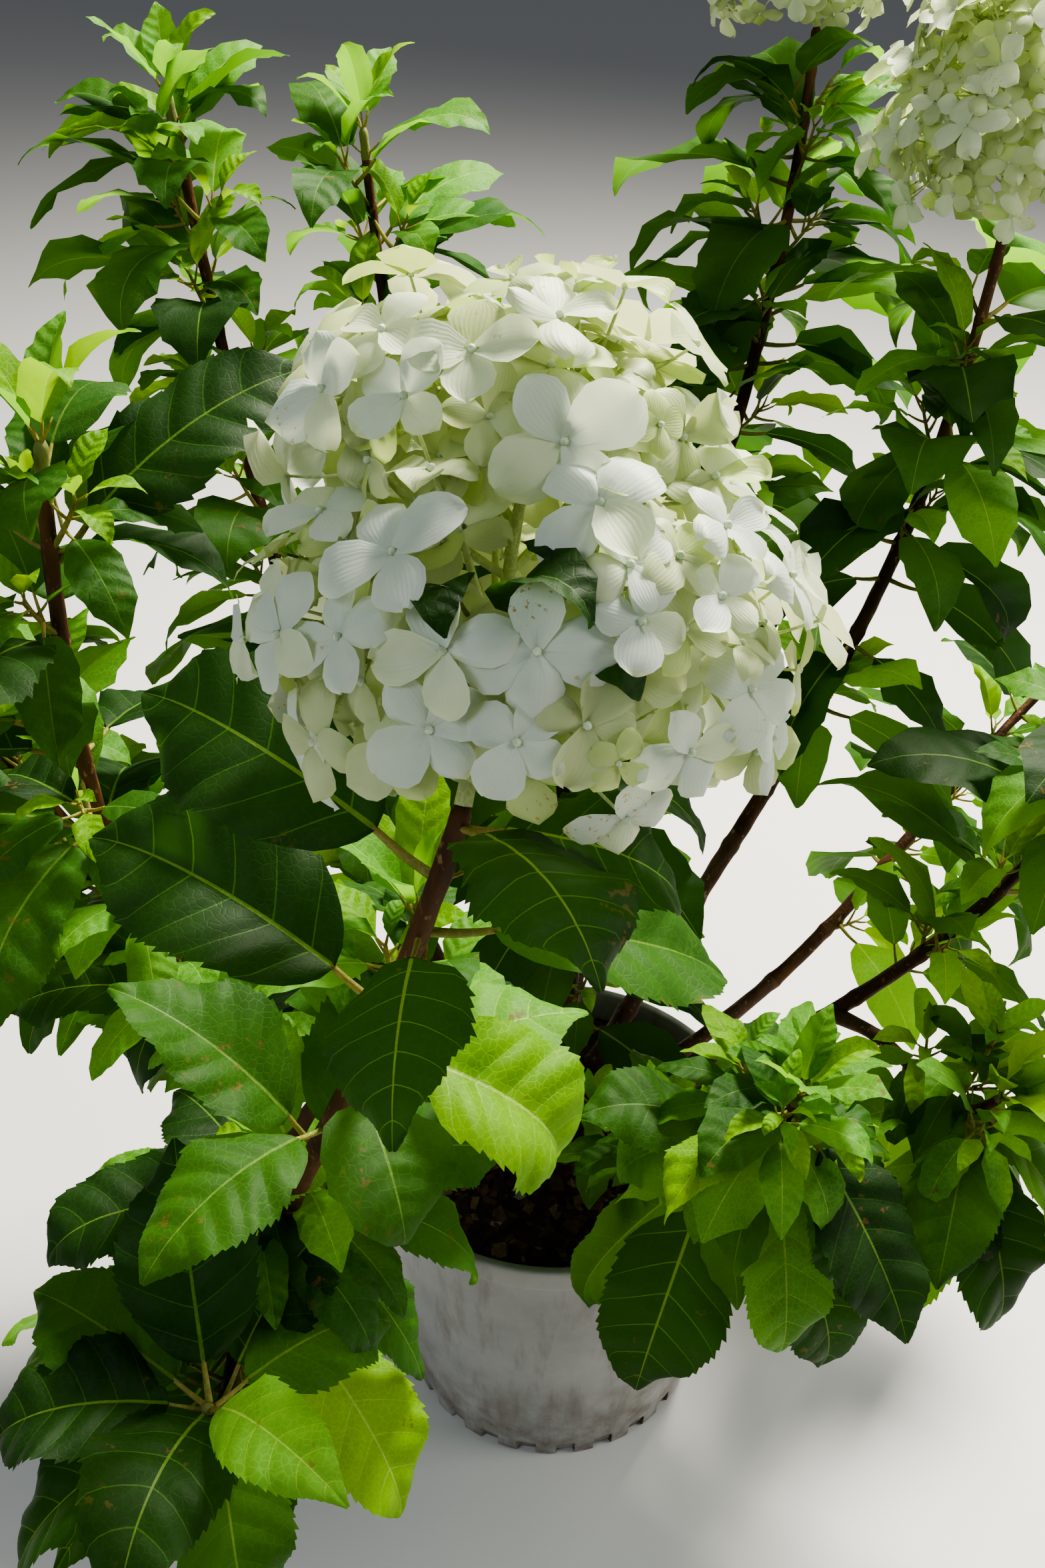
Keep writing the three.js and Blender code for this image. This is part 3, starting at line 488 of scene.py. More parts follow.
def chance(a, b=0, c=0, d=0):
    """A number from 0 to 1 that depends only on the four whole numbers given, so that
    each leaf and floret has its own fixed share of chance."""
    h = (((a + 11) * 73856093) ^ ((b + 23) * 19349663)) & WORD
    h = (h ^ ((c + 37) * 83492791) ^ ((d + 53) * 1640531513)) & WORD
    h = ((h ^ (h >> 15)) * 2246822519) & WORD
    h = ((h ^ (h >> 13)) * 3266489917) & WORD
    return (h ^ (h >> 16)) / 4294967296


def heading(azimuth, rise):
    """The unit vector at an azimuth from +X and a rise, both in degrees."""
    azimuth, rise = np.radians(azimuth), np.radians(rise)
    return np.stack([np.cos(rise) * np.cos(azimuth), np.cos(rise) * np.sin(azimuth), np.sin(rise)], -1)


def unit(vectors):
    """Each vector at length one."""
    return vectors / np.linalg.norm(vectors, axis=-1, keepdims=True)


def route_of(row, known):
    """A stem with its route: a Bezier curve from its foot to its tip, walked in straight
    steps, with the distance reached at each."""
    name, seat, start, (azimuth, reach, height), end, *girths, bare = row
    tip = heading(azimuth, 0) * reach + UP * height
    if isinstance(seat, tuple):
        parent = known[seat[0]]
        foot = along(parent, seat[1] * parent["length"])[0]
    else:
        ring = INNER_SEAT if name == "inner" else 1
        foot = heading(seat, 0) * STEM_RING_RADIUS * ring + UP * STEM_FOOT_LEVEL
    span = np.linalg.norm(tip - foot)
    early, late = FRONT_PULL if name == "front" else PULL
    bends = [foot, foot + heading(*start) * span * early, tip - heading(*end) * span * late, tip]
    t = np.linspace(0, 1, ROUTE_STEPS + 1)[:, None]
    weights = [(1 - t) ** 3, 3 * (1 - t) ** 2 * t, 3 * (1 - t) * t**2, t**3]
    points = sum(weight * bend for weight, bend in zip(weights, bends))
    reached = np.concatenate([[0], np.linalg.norm(np.diff(points, axis=0), axis=1).cumsum()])
    return dict(name=name, girths=girths, bare=bare, blooms=name in BLOOMING, points=points,
                reached=reached, length=reached[-1], side=heading(azimuth + 90, 0))


def along(route, distance):
    """The point, direction and two cross directions at distances along a route."""
    points, reached = route["points"], route["reached"]
    s = np.clip(distance, 0, route["length"])
    i = np.clip(np.searchsorted(reached, s, "left") - 1, 0, ROUTE_STEPS - 1)
    share = ((s - reached[i]) / (reached[i + 1] - reached[i]))[..., None]
    point = points[i] + (points[i + 1] - points[i]) * share
    direction = unit(points[np.minimum(i + 2, ROUTE_STEPS)] - points[np.maximum(i - 1, 0)])
    across = unit(route["side"] - direction * (direction @ route["side"])[..., None])
    return point, direction, across, np.cross(across, direction)


def nodes_of(route):
    """How far below the tip each ring of leaves stands: closer together near the tip. The
    placed leaves take up the reach that PLACED_REACH gives."""
    first = (26 if route["blooms"] else 16) + PLACED_REACH.get(route["name"], 0)
    leafy = route["length"] * (1 - route["bare"])
    rings = [first + 28 * k + 4 * k * k for k in range(40)]
    return [below for below in rings if below <= leafy - 12]


def limb_surface(index, route):
    """A stem from its foot to its tip: a tapering tube, ridged along by slow waves, with a
    swelling at each leaf ring and at the older scars below them."""
    length, (foot, tip) = route["length"], route["girths"]
    s = np.linspace(0, length, int(length / LIMB_STEP) + 2)
    centre, _, across, outward = along(route, s)
    scars = [length - below for below in nodes_of(route)]
    lowest = min(scars + [length * 0.6])
    scars += list(np.arange(lowest - 52, 20, -SCAR_GAP))
    swell = sum(np.exp(-(((s - scar) / SCAR_LENGTH) ** 2)) for scar in scars)
    turn, down = full_turn(LIMB_SIDES), s[:, None]
    ridge = 0.045 * np.sin(3 * turn + 0.02 * down + index)
    ridge = ridge + 0.035 * np.sin(5 * turn - 0.05 * down + 2 * index)
    lumps = 0.04 * wavy(np.stack([down + 0 * turn, 18 * turn + 0 * down], -1), 26, 70 + index)
    radii = (foot + (tip - foot) * s / length)[:, None]
    radii = radii * (1 + (0.17 * swell + 0.3 * np.exp(-s / 16))[:, None] + ridge + lumps)
    radii[-1] *= 0.6
    round_x = (radii * np.cos(turn))[..., None] * across[:, None]
    round_y = (radii * np.sin(turn))[..., None] * outward[:, None]
    return centre[:, None] + round_x - round_y, s / length


barks = [
    old_bark,
    bark("red_bark", (0.034, 0.014, 0.004), (0.095, 0.042, 0.010), (0.22, 0.14, 0.05)),
    bark("green_bark", (0.09, 0.11, 0.03), (0.18, 0.19, 0.05), (0.26, 0.24, 0.10)),
]
RED_FROM = 0.34
GREEN_FROM = 0.97
stems = {}
for index, row in enumerate(STEM_ROWS):
    name = row[0]
    route = stems[name] = route_of(row, stems)
    rings, share = limb_surface(index, route)
    rings = close_ends(rings)
    share = np.concatenate([[0], share])
    green_from = 2 if route["blooms"] else GREEN_FROM
    marks = np.where(share < RED_FROM, 0, np.where(share < green_from, 1, 2)).repeat(LIMB_SIDES)
    faces = grid_faces(len(rings), LIMB_SIDES, True)
    limb = new_piece("limb_" + name, rings.reshape(-1, 3) * MM, faces, barks, marks)
    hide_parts("stem_" + name)

# The leaves: soft toothed blades, in pairs and threes, each on a short stalk. They are
# quilted between pale raised veins, dark when grown and light green in the tuft at a
# shoot's tip. Light from behind shines through them.

STALK_SHARE = 0.22
STALK_RADII = np.array([0.017, 0.011])
TWIG_RADII = (1.5, 1.0)
SPACE_MARGIN = 7
SHOOT_MARGIN = -16
LOWEST_LEAF = 254
VEINS = 6
VEIN_RATE = 6.5
RIB_MARK = 0.001
DEEP, MID, FRESH, LIME = range(4)
# Leaves placed one by one: how far below the stem's tip, azimuth, rise, length, width,
# bend, roll and green.
PLACED_LEAVES = {
    "front": [
        (8, 307, 18, 70, 54, 50, -18, DEEP), (8, 346, 4, 68, 44, 40, 16, DEEP),
        (30, 150, 25, 113, 58, 40, -24, DEEP), (30, 29, 1, 51, 46, 40, 0, MID),
        (53, 264, 4, 67, 44, 36, 10, DEEP), (53, 13, -10, 108, 50, 40, 24, MID),
        (94, 163, 37, 103, 60, 40, -20, DEEP), (114, 351, -17, 81, 62, 44, 10, LIME),
        (136, 290, 3, 60, 46, 36, 0, MID), (200, 172, 59, 87, 52, 40, -14, MID),
        (300, 200, 30, 96, 54, 40, 0, DEEP), (300, 20, 20, 90, 52, 40, 0, MID),
        (350, 230, 10, 100, 56, 50, 0, DEEP), (350, 130, 20, 92, 52, 40, 0, DEEP),
        (400, 250, 15, 92, 50, 40, 0, MID), (170, 20, 30, 88, 50, 40, 0, FRESH),
        (176, 230, 20, 78, 46, 50, 0, MID), (225, 60, 40, 84, 48, 40, 10, MID),
        (232, 130, 50, 80, 46, 40, 0, FRESH),
    ],
    "low_left": [
        (8, 104, 63, 91, 56, 30, 0, DEEP), (10, 151, 21, 85, 48, 40, -10, MID),
        (140, 315, -18, 118, 54, 46, 0, LIME), (37, 260, 44, 101, 56, 50, 0, DEEP),
        (12, 187, 21, 80, 56, 50, 0, DEEP), (6, 310, 49, 88, 36, 60, 10, FRESH),
        (30, 60, 40, 80, 48, 40, 0, DEEP), (22, 214, 6, 88, 50, 40, 10, DEEP),
        (48, 176, 30, 84, 50, 40, 0, MID), (66, 236, 16, 88, 52, 44, 0, DEEP),
        (18, 286, 12, 84, 46, 70, 0, MID), (84, 286, 6, 78, 46, 40, 0, DEEP),
        (92, 130, 18, 90, 52, 40, 0, DEEP), (120, 200, 10, 84, 50, 40, 10, MID),
        (60, 150, -5, 96, 56, 50, 0, DEEP), (100, 240, -10, 104, 58, 50, 0, DEEP),
        (150, 170, -5, 100, 58, 50, 0, DEEP), (150, 250, -15, 98, 54, 50, 0, DEEP),
        (8, 40, 10, 80, 46, 50, 0, MID), (112, 172, 12, 100, 58, 50, 30, FRESH),
    ],
    "left": [(55, 22, 45, 117, 56, 40, 20, DEEP)],
    # The low_right and right_low leaves are mostly given the lighter FRESH and MID greens, partly their own
    # young green and partly painted light for the sun on that side.
    "low_right": [
        (34, 290, 10, 58, 27, 60, 0, FRESH), (60, 10, 0, 64, 30, 60, 0, FRESH),
        (60, 250, 0, 66, 32, 50, 0, MID), (96, 335, -10, 84, 42, 50, 0, MID),
        (96, 200, 20, 66, 32, 50, 0, FRESH), (132, 275, 5, 70, 34, 50, 0, MID),
        (14, 312, -38, 112, 56, 24, 0, DEEP), (150, 200, -35, 102, 46, 20, 0, MID),
        (46, 275, -40, 104, 48, 34, 0, FRESH), (46, 345, -34, 112, 54, 34, 10, MID),
        (84, 312, -44, 116, 60, 20, 0, DEEP), (84, 20, -20, 100, 48, 40, 0, FRESH),
        (20, 230, 0, 70, 40, 50, 0, FRESH), (70, 180, 10, 74, 42, 50, 0, FRESH),
    ],
    "right_low": [
        (30, 250, 0, 88, 50, 60, 0, MID), (62, 330, -5, 98, 54, 50, 0, MID),
        (62, 200, 10, 90, 50, 50, 0, FRESH), (98, 285, -10, 100, 56, 50, 0, MID),
        (134, 240, 10, 86, 48, 50, 0, MID), (18, 330, -40, 108, 62, 24, 0, FRESH),
        (44, 290, -42, 114, 64, 20, 0, DEEP), (44, 240, -30, 104, 60, 30, 0, FRESH),
        (80, 300, -44, 112, 64, 20, 0, DEEP), (110, 250, -30, 104, 60, 20, 0, FRESH),
    ],
}
# A few leaves curl in the open heart of the front head: place in the head's own frame,
# then the same as above.
HEART_LEAVES = [
    ((-3, -50, -22), 268, 78, 44, 20, 120, 50, DEEP),
    ((4, -48, -12), 330, 56, 29, 18, 140, -30, DEEP),
    ((-14, -46, -16), 220, 62, 34, 17, 120, 50, DEEP),
    ((4, -40, -4), 285, 66, 32, 16, 110, 0, DEEP),
    ((10, -46, -22), 300, 30, 32, 17, 90, 20, DEEP),
]
# Older pairs low on the tall stems: the first and last pair's distance below the tip, the
# azimuth that the stem faces, and how far a leaf turns from it at most.
LOWER_PAIRS = {
    "left": (150, 450, 130, 70),
    "left_back": (150, 300, 200, 50),
    "back_right": (130, 325, 270, 90),
    "back": (120, 320, 300, 90),
    "inner": (190, 390, 280, 70),
}
LOWER_GAP = 48
LEAF_LENGTH = 110
TUFT_LEAVES = 5
# Side shoots of a stem: their reach, pairs of leaves, share of leaf angles that bear one,
# longest leaf, how many stand below the leaf rings, and how steeply they turn upwards.
SHOOTS = {
    "low_right": (84, 6, 1.0, 54, 3, 1.1),
    "right_low": (70, 5, 1.0, 56, 2, 0.9),
    "low_left": (26, 2, 0.6, 58, 1, 0.5),
    "left": (38, 3, 0.6, 62, 4, 0.5),
    "fork": (34, 3, 0.8, 66, 1, 0.5),
    "inner": (40, 3, 0.8, 80, 4, 0.5),
    "right": (32, 2, 0.5, 80, 0, 0.5),
    "right_front": (34, 3, 0.7, 84, 1, 0.5),
    "back_right": (40, 3, 0.8, 92, 0, 0.5),
    "front": (40, 3, 0.9, 84, 4, 0.5),
}
USUAL_SHOOTS = (46, 3, 0.95, 94, 4, 0.5)
SHOOT_GAP = 40
# A flower head is a dome over a skirt, each an ellipsoid given by its centre and radii.
HEAD_DOME = (np.array([-8.0, 0, 40]), np.array([66.0, 56, 43]))
HEAD_SKIRT = (np.array([0.0, 0, -20]), np.array([86.0, 70, 68]))
HEAD_FOOT = np.array([-18.0, 0, -72])
# `tries` is how many places its outer florets are tried at, `apart` how close they may come.
FRONT_HEAD = dict(tilt=26, tries=114, widest=37, apart=0.42, depth=0.1, branches=16)
BACK_HEAD = dict(tilt=4, tries=54, widest=42, apart=0.48, depth=0, branches=8)
HEADS = [
    dict(FRONT_HEAD, stem="front", scale=1, facing=-90),
    dict(BACK_HEAD, stem="back_right", scale=0.9, facing=33),
    dict(BACK_HEAD, stem="back", scale=0.86, facing=64),
]
for head in HEADS:
    across = heading(head["facing"] + 90, 0)
    up = heading(head["facing"] + 180, 90 - head["tilt"])
    head["axes"] = np.stack([across, np.cross(up, across), up])
    head["centre"] = stems[head["stem"]]["points"][-1] - HEAD_FOOT @ head["axes"] * head["scale"]


def to_world(head, local):
    """From a flower head's own frame, across, back and up, to the plant's."""
    return head["centre"] + local @ head["axes"] * head["scale"]


def toward(direction, outward, across, splay, around):
    """The azimuth and rise, in degrees, of a way that leaves a stem's direction by the
    splay angle, on the side of it that the turn around gives."""
    splay, around = math.radians(splay), math.radians(around)
    way = direction * math.cos(splay) + math.sin(splay) * (
        outward * math.cos(around) + across * math.sin(around)
    )
    return math.degrees(math.atan2(way[1], way[0])), math.degrees(math.asin(way[2]))


def green_of(age, luck):
    """Which green a leaf gets: fresh or lime when young, deep or mid when grown, and lime
    for a few old ones."""
    if age < 0.8:
        return FRESH if luck < 0.6 else LIME
    if age < 1.5:
        return FRESH if luck < 0.35 else MID
    return LIME if luck > 0.975 else MID if luck > 0.5 else DEEP


def new_leaf(root, azimuth, rise, length, width, bend, roll, green=None, age=3, luck=0):
    """A leaf by its root, the way it points, its size, how far its midrib bends down and
    it rolls sideways, in degrees. Its green is given, or comes from its age and luck."""
    green = green_of(age, luck) if green is None else green
    return dict(root=root, azimuth=azimuth, rise=rise, length=length, width=width, bend=bend, roll=roll,
                green=green, age=age, luck=luck)


def ruled_leaves(index, route):
    """Leaves in twos and threes at each ring, turned a quarter from the ring before, and a
    tuft of young ones at a shoot's tip."""
    length = route["length"]
    leaves = []
    for ring, below in enumerate(nodes_of(route)):
        grown = 1 if route["blooms"] else min(1, 0.56 + 0.2 * ring)
        count = 3 if chance(index, ring, 1) < 0.3 else 2
        point, direction, across, outward = along(route, length - below)
        for k in range(count):
            luck = [chance(index, ring, k, n) for n in range(9)]
            around = 90 * ring + 360 / count * k + 40 * (luck[2] - 0.5) + 45
            way = toward(direction, outward, across, 50 + 24 * luck[3] + 4 * ring, around)
            size = LEAF_LENGTH * grown * (0.82 + 0.32 * luck[4])
            width, bend, roll = size * (0.5 + 0.12 * luck[5]), 34 + 40 * luck[6], 36 * (luck[7] - 0.5)
            leaves.append(new_leaf(point, *way, size, width, bend, roll, age=ring + 1, luck=luck[8]))
    if not route["blooms"] and route["name"] not in PLACED_REACH:
        point, direction, across, outward = along(route, length - 2)
        for k in range(TUFT_LEAVES):
            luck = [chance(index, 40, k, n) for n in range(9)]
            around = 360 // TUFT_LEAVES * k + 30 * luck[1]
            way = toward(direction, outward, across, 20 + 16 * luck[2], around)
            size = 40 + 16 * luck[3]
            leaves.append(new_leaf(point, *way, size, size * 0.46, 20, 0, age=0, luck=luck[8]))
    return leaves


def placed_leaves(index, route):
    """The stem's listed leaves, and on the front stem those in the heart."""
    name, length = route["name"], route["length"]
    rows = [(along(route, length - below)[0], *row) for below, *row in PLACED_LEAVES.get(name, [])]
    leaves = [new_leaf(*row, luck=chance(index, 30, k, 8)) for k, row in enumerate(rows)]
    for k, (spot, *row) in enumerate(HEART_LEAVES if name == "front" else []):
        root = to_world(HEADS[0], np.array(spot, float))
        leaves.append(new_leaf(root, *row, luck=chance(index, 31, k, 8)))
    return leaves


def lower_leaves(index, route):
    """Older leaves in pairs down the tall stems, one to each side of where a stem faces."""
    leaves = []
    first, last, facing, spread = LOWER_PAIRS.get(route["name"], (0, -1, 0, 0))
    for ring, below in enumerate(range(first, last + 1, LOWER_GAP)):
        root = along(route, route["length"] - below)[0]
        for side in (-1, 1):
            luck = [chance(index, ring, 80 + side, n) for n in range(5)]
            azimuth, rise = facing + side * spread * (0.35 + 0.65 * luck[1]), -10 + 24 * luck[2]
            size = 90 + 20 * luck[0]
            green = DEEP if luck[3] < 0.62 else MID
            leaves.append(new_leaf(root, azimuth, rise, size, size * 0.52, 48, 0, green, luck=luck[4]))
    return leaves


def leaf_axes(leaf):
    """A leaf's forward, upper and side directions at its root."""
    forward = heading(leaf["azimuth"], leaf["rise"])
    upper = unit(UP - forward * forward[2])
    roll = math.radians(leaf["roll"])
    upper = upper * math.cos(roll) + np.cross(forward, upper) * math.sin(roll)
    return forward, upper, np.cross(forward, upper)


def leaf_outline(t, late):
    """A width along a shape, most 1: it swells from nothing at share 0 by the power 0.6, and
    falls to a point at share 1 by the power `late`."""
    widest = 0.6 / (0.6 + late)
    return t**0.6 * (1 - t) ** late / (widest**0.6 * (1 - widest) ** late)


def probes(leaf):
    """Points of a leaf that have to lie in its mass's own space: its tip, and the middle
    and both edges at two places. The edge is egg-shaped and drawn out to a point."""
    forward, upper, side = leaf_axes(leaf)
    bend = math.radians(leaf["bend"])
    radius = leaf["length"] / bend
    spots = []
    for t in (1, 0.3, 0.65):
        spot = leaf["root"] + forward * (leaf["length"] * STALK_SHARE + radius * math.sin(bend * t))
        spot = spot - upper * radius * (1 - math.cos(bend * t))
        spots.append(spot)
        if t < 1:
            half = 0.5 * leaf["width"] * leaf_outline(t, 0.95)
            spots += [spot + side * half, spot - side * half]
    return np.array(spots)


def distance_to(spots, route):
    """How near each spot comes to a route."""
    start, step = route["points"][:-1], np.diff(route["points"], axis=0)
    share = np.einsum("nkj,kj->nk", spots[:, None] - start, step) / (step**2).sum(1)
    nearest = start + np.clip(share, 0, 1)[..., None] * step
    return np.linalg.norm(spots[:, None] - nearest, axis=2).min(1)


def inside_head(head, spots):
    """Whether any spot lies in a flower head's dome or skirt, grown by a margin."""
    local = (spots - head["centre"]) @ head["axes"].T / head["scale"]
    return any(
        (np.linalg.norm((local - centre) / (radii + SPACE_MARGIN), axis=1) < 1).any()
        for centre, radii in (HEAD_DOME, HEAD_SKIRT)
    )


def in_own_space(leaf, route, margin=SPACE_MARGIN):
    """A mass's own space lies nearer to its stem than to any other by a margin, outside
    every flower head and above the pot."""
    spots = probes(leaf)
    if (spots[:, 2] < LOWEST_LEAF).any() or any(inside_head(head, spots) for head in HEADS):
        return False
    own = distance_to(spots, route) + margin
    return all((distance_to(spots, other) > own).all() for other in stems.values() if other is not route)


def side_shoots(index, route):
    """Side shoots in the angles above the older leaves, each a twig that turns upwards
    with pairs of leaves along it, smaller towards its tip. They carry the rule on."""
    leaves, twigs = [], []
    longest, pairs, bearing, broadest, more, lift = SHOOTS.get(route["name"], USUAL_SHOOTS)
    rings = nodes_of(route)
    lowest = rings[-1] if rings else PLACED_REACH.get(route["name"], 0)
    further = [lowest + SHOOT_GAP * (k + 1) for k in range(more)]
    rings = rings + [below for below in further if below < route["length"] - 60]
    for ring, k in [(ring, k) for ring in range(1, len(rings)) for k in range(2)]:
        luck = [chance(index, ring, k, 50 + n) for n in range(4)]
        if luck[0] > bearing:
            continue
        point, direction, across, outward = along(route, route["length"] - rings[ring])
        way = toward(direction, outward, across, 40 + 16 * luck[2], 90 * ring + 180 * k + 60 * luck[1])
        end = point + longest * (0.6 + 0.4 * luck[3]) * unit(heading(*way) + lift * UP)
        twigs.append((point, end, *TWIG_RADII))
        ahead = unit(end - point)
        flank = unit(np.cross(ahead, outward))
        other = np.cross(flank, ahead)
        for n in range(2 * pairs + 2):
            share = n // 2 / pairs
            around = 90 * (n // 2) + 180 * n + 40 * chance(index, ring, n, 54)
            way = toward(ahead, flank, other, 66 - 36 * share, around)
            root = point + (end - point) * (0.5 + 0.5 * share)
            size = broadest * (1 - 0.6 * share) * (0.75 + 0.4 * chance(index, ring, 10 * k + n, 55))
            age, leaf_luck = 1.2 if share < 0.5 else 0.6, chance(index, ring, 10 * k + n, 56)
            leaves.append(new_leaf(root, *way, size, size * 0.45, 46, 0, age=age, luck=leaf_luck))
    return leaves, twigs


def blade_points(leaves, v, s, quilting):
    """Points of many blades at the same shares: v along the midrib, where a side vein leaves
    it, and s across from -1 to 1. Side veins slant forward as they near the edge. The
    midrib bends down evenly and curls more near the tip, each half rises from it and
    arches over, the edge waves, the blade twists, and its skin swells between the veins."""
    length, width, luck, age, bend = (
        np.array([leaf[key] for leaf in leaves], float)[:, None]
        for key in ("length", "width", "luck", "age", "bend")
    )
    forward, upper, side = np.array([leaf_axes(leaf) for leaf in leaves]).transpose(1, 0, 2)[:, :, None]
    reach = np.abs(s)
    slant = 0.2 * reach**1.2 * (1 - np.exp(-v / 0.09)) * (1 - v * v)
    t = np.clip(v + slant, 0, 1)
    bend = np.radians(bend)
    curl = np.radians(10 + 96 * ((luck * 7.3) % 1) ** 2)
    steps = 64
    fine = np.linspace(0, 1, steps + 1)
    angle = bend * fine + curl * fine**4
    middle_angle = (angle[:, 1:] + angle[:, :-1]) / 2
    low = np.minimum((t * steps).astype(int), steps - 1)
    part = t * steps - low
    ahead, down = (
        np.concatenate([0 * luck, (wave_of(middle_angle) * (length / steps)).cumsum(1)], 1)
        for wave_of in (np.cos, np.sin)
    )
    ahead = ahead[:, low] * (1 - part) + ahead[:, low + 1] * part + length * STALK_SHARE
    down = down[:, low] * (1 - part) + down[:, low + 1] * part
    angle = bend * t + curl * t**4
    half = 0.5 * width * leaf_outline(t, 0.78)
    half = half * (1 - 0.52 * np.clip((t - 0.76) / 0.24, 0, 1) ** 0.9)
    half = half * (1 + 0.05 * np.sin(2 * np.pi * (1.4 * t + 3 * luck + 0.31 * np.sign(s))))
    fold = np.radians(8 + 22 * ((luck * 3.7) % 1) + np.where(age < 0.8, 16, 0)) * (1 - 0.4 * t)
    twist = np.radians(64 * ((luck * 5.1) % 1 - 0.5)) * t
    swell = np.abs(np.sin(np.pi * (VEIN_RATE * v + 0.4))) ** 0.8
    quilt = quilting * width * swell * np.clip(np.sin(np.pi * np.minimum(reach, 1)), 0, 1) ** 0.6
    side_of = 0.27 * np.sign(s)
    wave = np.sin(2 * np.pi * (1.7 * t + 5 * luck + side_of))
    wave = wave + 0.4 * np.sin(2 * np.pi * (4.3 * t + 9 * luck - side_of))
    wave = wave * np.clip(4 * t * (1 - t), 0, 1) ** 0.5
    arch = 0.08 + 0.22 * ((luck * 11.3) % 1)
    out = half * s * np.cos(fold)
    rise = half * (reach * np.sin(fold) - arch * reach**2.2) + quilt + 0.07 * width * wave * reach**2
    local_up = upper * np.cos(angle)[..., None] + forward * np.sin(angle)[..., None]
    turned_side = side * np.cos(twist)[..., None] + local_up * np.sin(twist)[..., None]
    turned_up = local_up * np.cos(twist)[..., None] - side * np.sin(twist)[..., None]
    root = np.array([leaf["root"] for leaf in leaves])[:, None]
    middle = root + forward * ahead[..., None] - upper * down[..., None]
    return middle + turned_side * out[..., None] + turned_up * rise[..., None]


def blade_grid(kind):
    """Shares (v, s) of a blade's points, its quads, and what each quad is: 0 skin, 1 midrib,
    2 side vein. Rows run along the side veins and every other one ends in a tooth. A near
    blade has two close rows for each side vein; a plain and a small one have none. The two
    columns at the rib mark are moved out to the midrib's own width, which thins to the tip."""
    veins = (np.arange(VEINS) + 0.6) / VEIN_RATE
    if kind == "near":
        gaps = [vein + k / VEIN_RATE / 6 for vein in veins for k in range(1, 6)]
        rows = [(v, 0) for v in [0, 0.006, 0.018, 0.036, 0.062] + gaps[:-1] + [0.987]]
        rows += [(v, hand * 0.0036) for v in veins for hand in (-1, 1)]
        columns = np.array([-1, -0.88, -0.64, -0.4, -0.17, -RIB_MARK, RIB_MARK, 0.17, 0.4, 0.64, 0.88, 1])
    elif kind == "plain":
        rows = [(v, 0) for v in (0, 0.025, 0.08, 0.16, 0.26, 0.37, 0.48, 0.59, 0.7, 0.81, 0.91, 0.985)]
        columns = np.array([-1, -0.55, -RIB_MARK, RIB_MARK, 0.55, 1])
    else:
        rows = [(v, 0) for v in (0, 0.1, 0.24, 0.4, 0.56, 0.72, 0.87, 0.985)]
        columns = np.array([-1, -0.5, 0, 0.5, 1])
    rows.sort(key=sum)
    base, shift = np.array(rows).T[:, :, None]
    s = np.repeat(columns[None], len(rows), 0)
    v = base + shift * (1 - 0.65 * np.abs(s))
    turn = np.unique(base.ravel(), return_inverse=True)[1][:, None]
    at_edge = np.abs(s) > 0.99
    tooth = at_edge & (turn % 2 == 1) & (base > 0.05) & (base < 0.97)
    uneven = 0.6 + 0.4 * np.sin(5.1 * turn + 2.4 * np.sign(s))
    s = np.where(tooth, s * (1.02 + 0.05 * uneven), np.where(at_edge, s * 0.985, s))
    v = np.where(tooth, v + 0.012, v)
    rib = np.minimum(0.030 * (1.12 - base) / leaf_outline(np.clip(base, 0.01, 0.99), 0.95), 0.35)
    s = np.where(np.abs(s) == RIB_MARK, np.sign(s) * rib, s)
    quads = grid_faces(len(rows), len(columns))
    row_of, column_of = np.divmod(np.arange(len(quads)), len(columns) - 1)
    what = np.where(np.abs(shift[row_of, 0]) * np.abs(shift[row_of + 1, 0]) > 0, 2, 0)
    if kind != "small":
        what = np.where(column_of == (len(columns) - 2) // 2, 1, what)
    return v.ravel(), s.ravel(), quads, what


def let_light_through(tree, colour, share):
    """Mixes a share of light from behind, in a colour of its own, with the shader's."""
    through = node(tree, "ShaderNodeBsdfTranslucent", Color=(*colour, 1))
    both = node(tree, "ShaderNodeMixShader", Fac=share)
    tree.links.new(tree.nodes["Principled BSDF"].outputs[0], both.inputs[1])
    tree.links.new(through.outputs[0], both.inputs[2])
    tree.links.new(both.outputs[0], tree.nodes["Material Output"].inputs["Surface"])


def leaf_skin(name, dark, light, shine_through, roughness=0.5, quilted=0.0, thin=0.34):
    """A living leaf: two close greens in soft clouds, a faint net of fine paler veins, a few
    brown spots, shallow swells between its side veins, and light that comes through."""
    material = plain_material(name, dark, roughness, 0.17)
    tree = material.node_tree
    place = node(tree, "ShaderNodeTexCoord").outputs["Object"]
    net = node(tree, "ShaderNodeTexVoronoi", feature="DISTANCE_TO_EDGE", Vector=place, Scale=300)
    cell = stretched(tree, net.outputs["Distance"], 0, 0.10, 0.25)
    colour = mixed(tree, blotches(tree, 34, 0.34, 0.68, 5), dark, light)
    colour = mixed(tree, cell, tuple(1.3 * value for value in light), colour)
    spots = both_of(tree, blotches(tree, 24, 0.58, 0.64, 2), blotches(tree, 210, 0.60, 0.65, 3))
    colour = mixed(tree, spots, colour, (0.10, 0.055, 0.02))
    normal = relief(tree, cell, 0.00025, 0.3)
    if quilted:
        shape = node(tree, "ShaderNodeUVMap", uv_map="shape").outputs["UV"]
        swells = node(tree, "ShaderNodeTexWave", Vector=shape, Scale=2.069, Phase_Offset=2.51)
        normal = relief(tree, swells.outputs["Fac"], 0.0016, quilted, normal)
    let_light_through(tree, shine_through, thin)
    return painted(material, colour, normal)


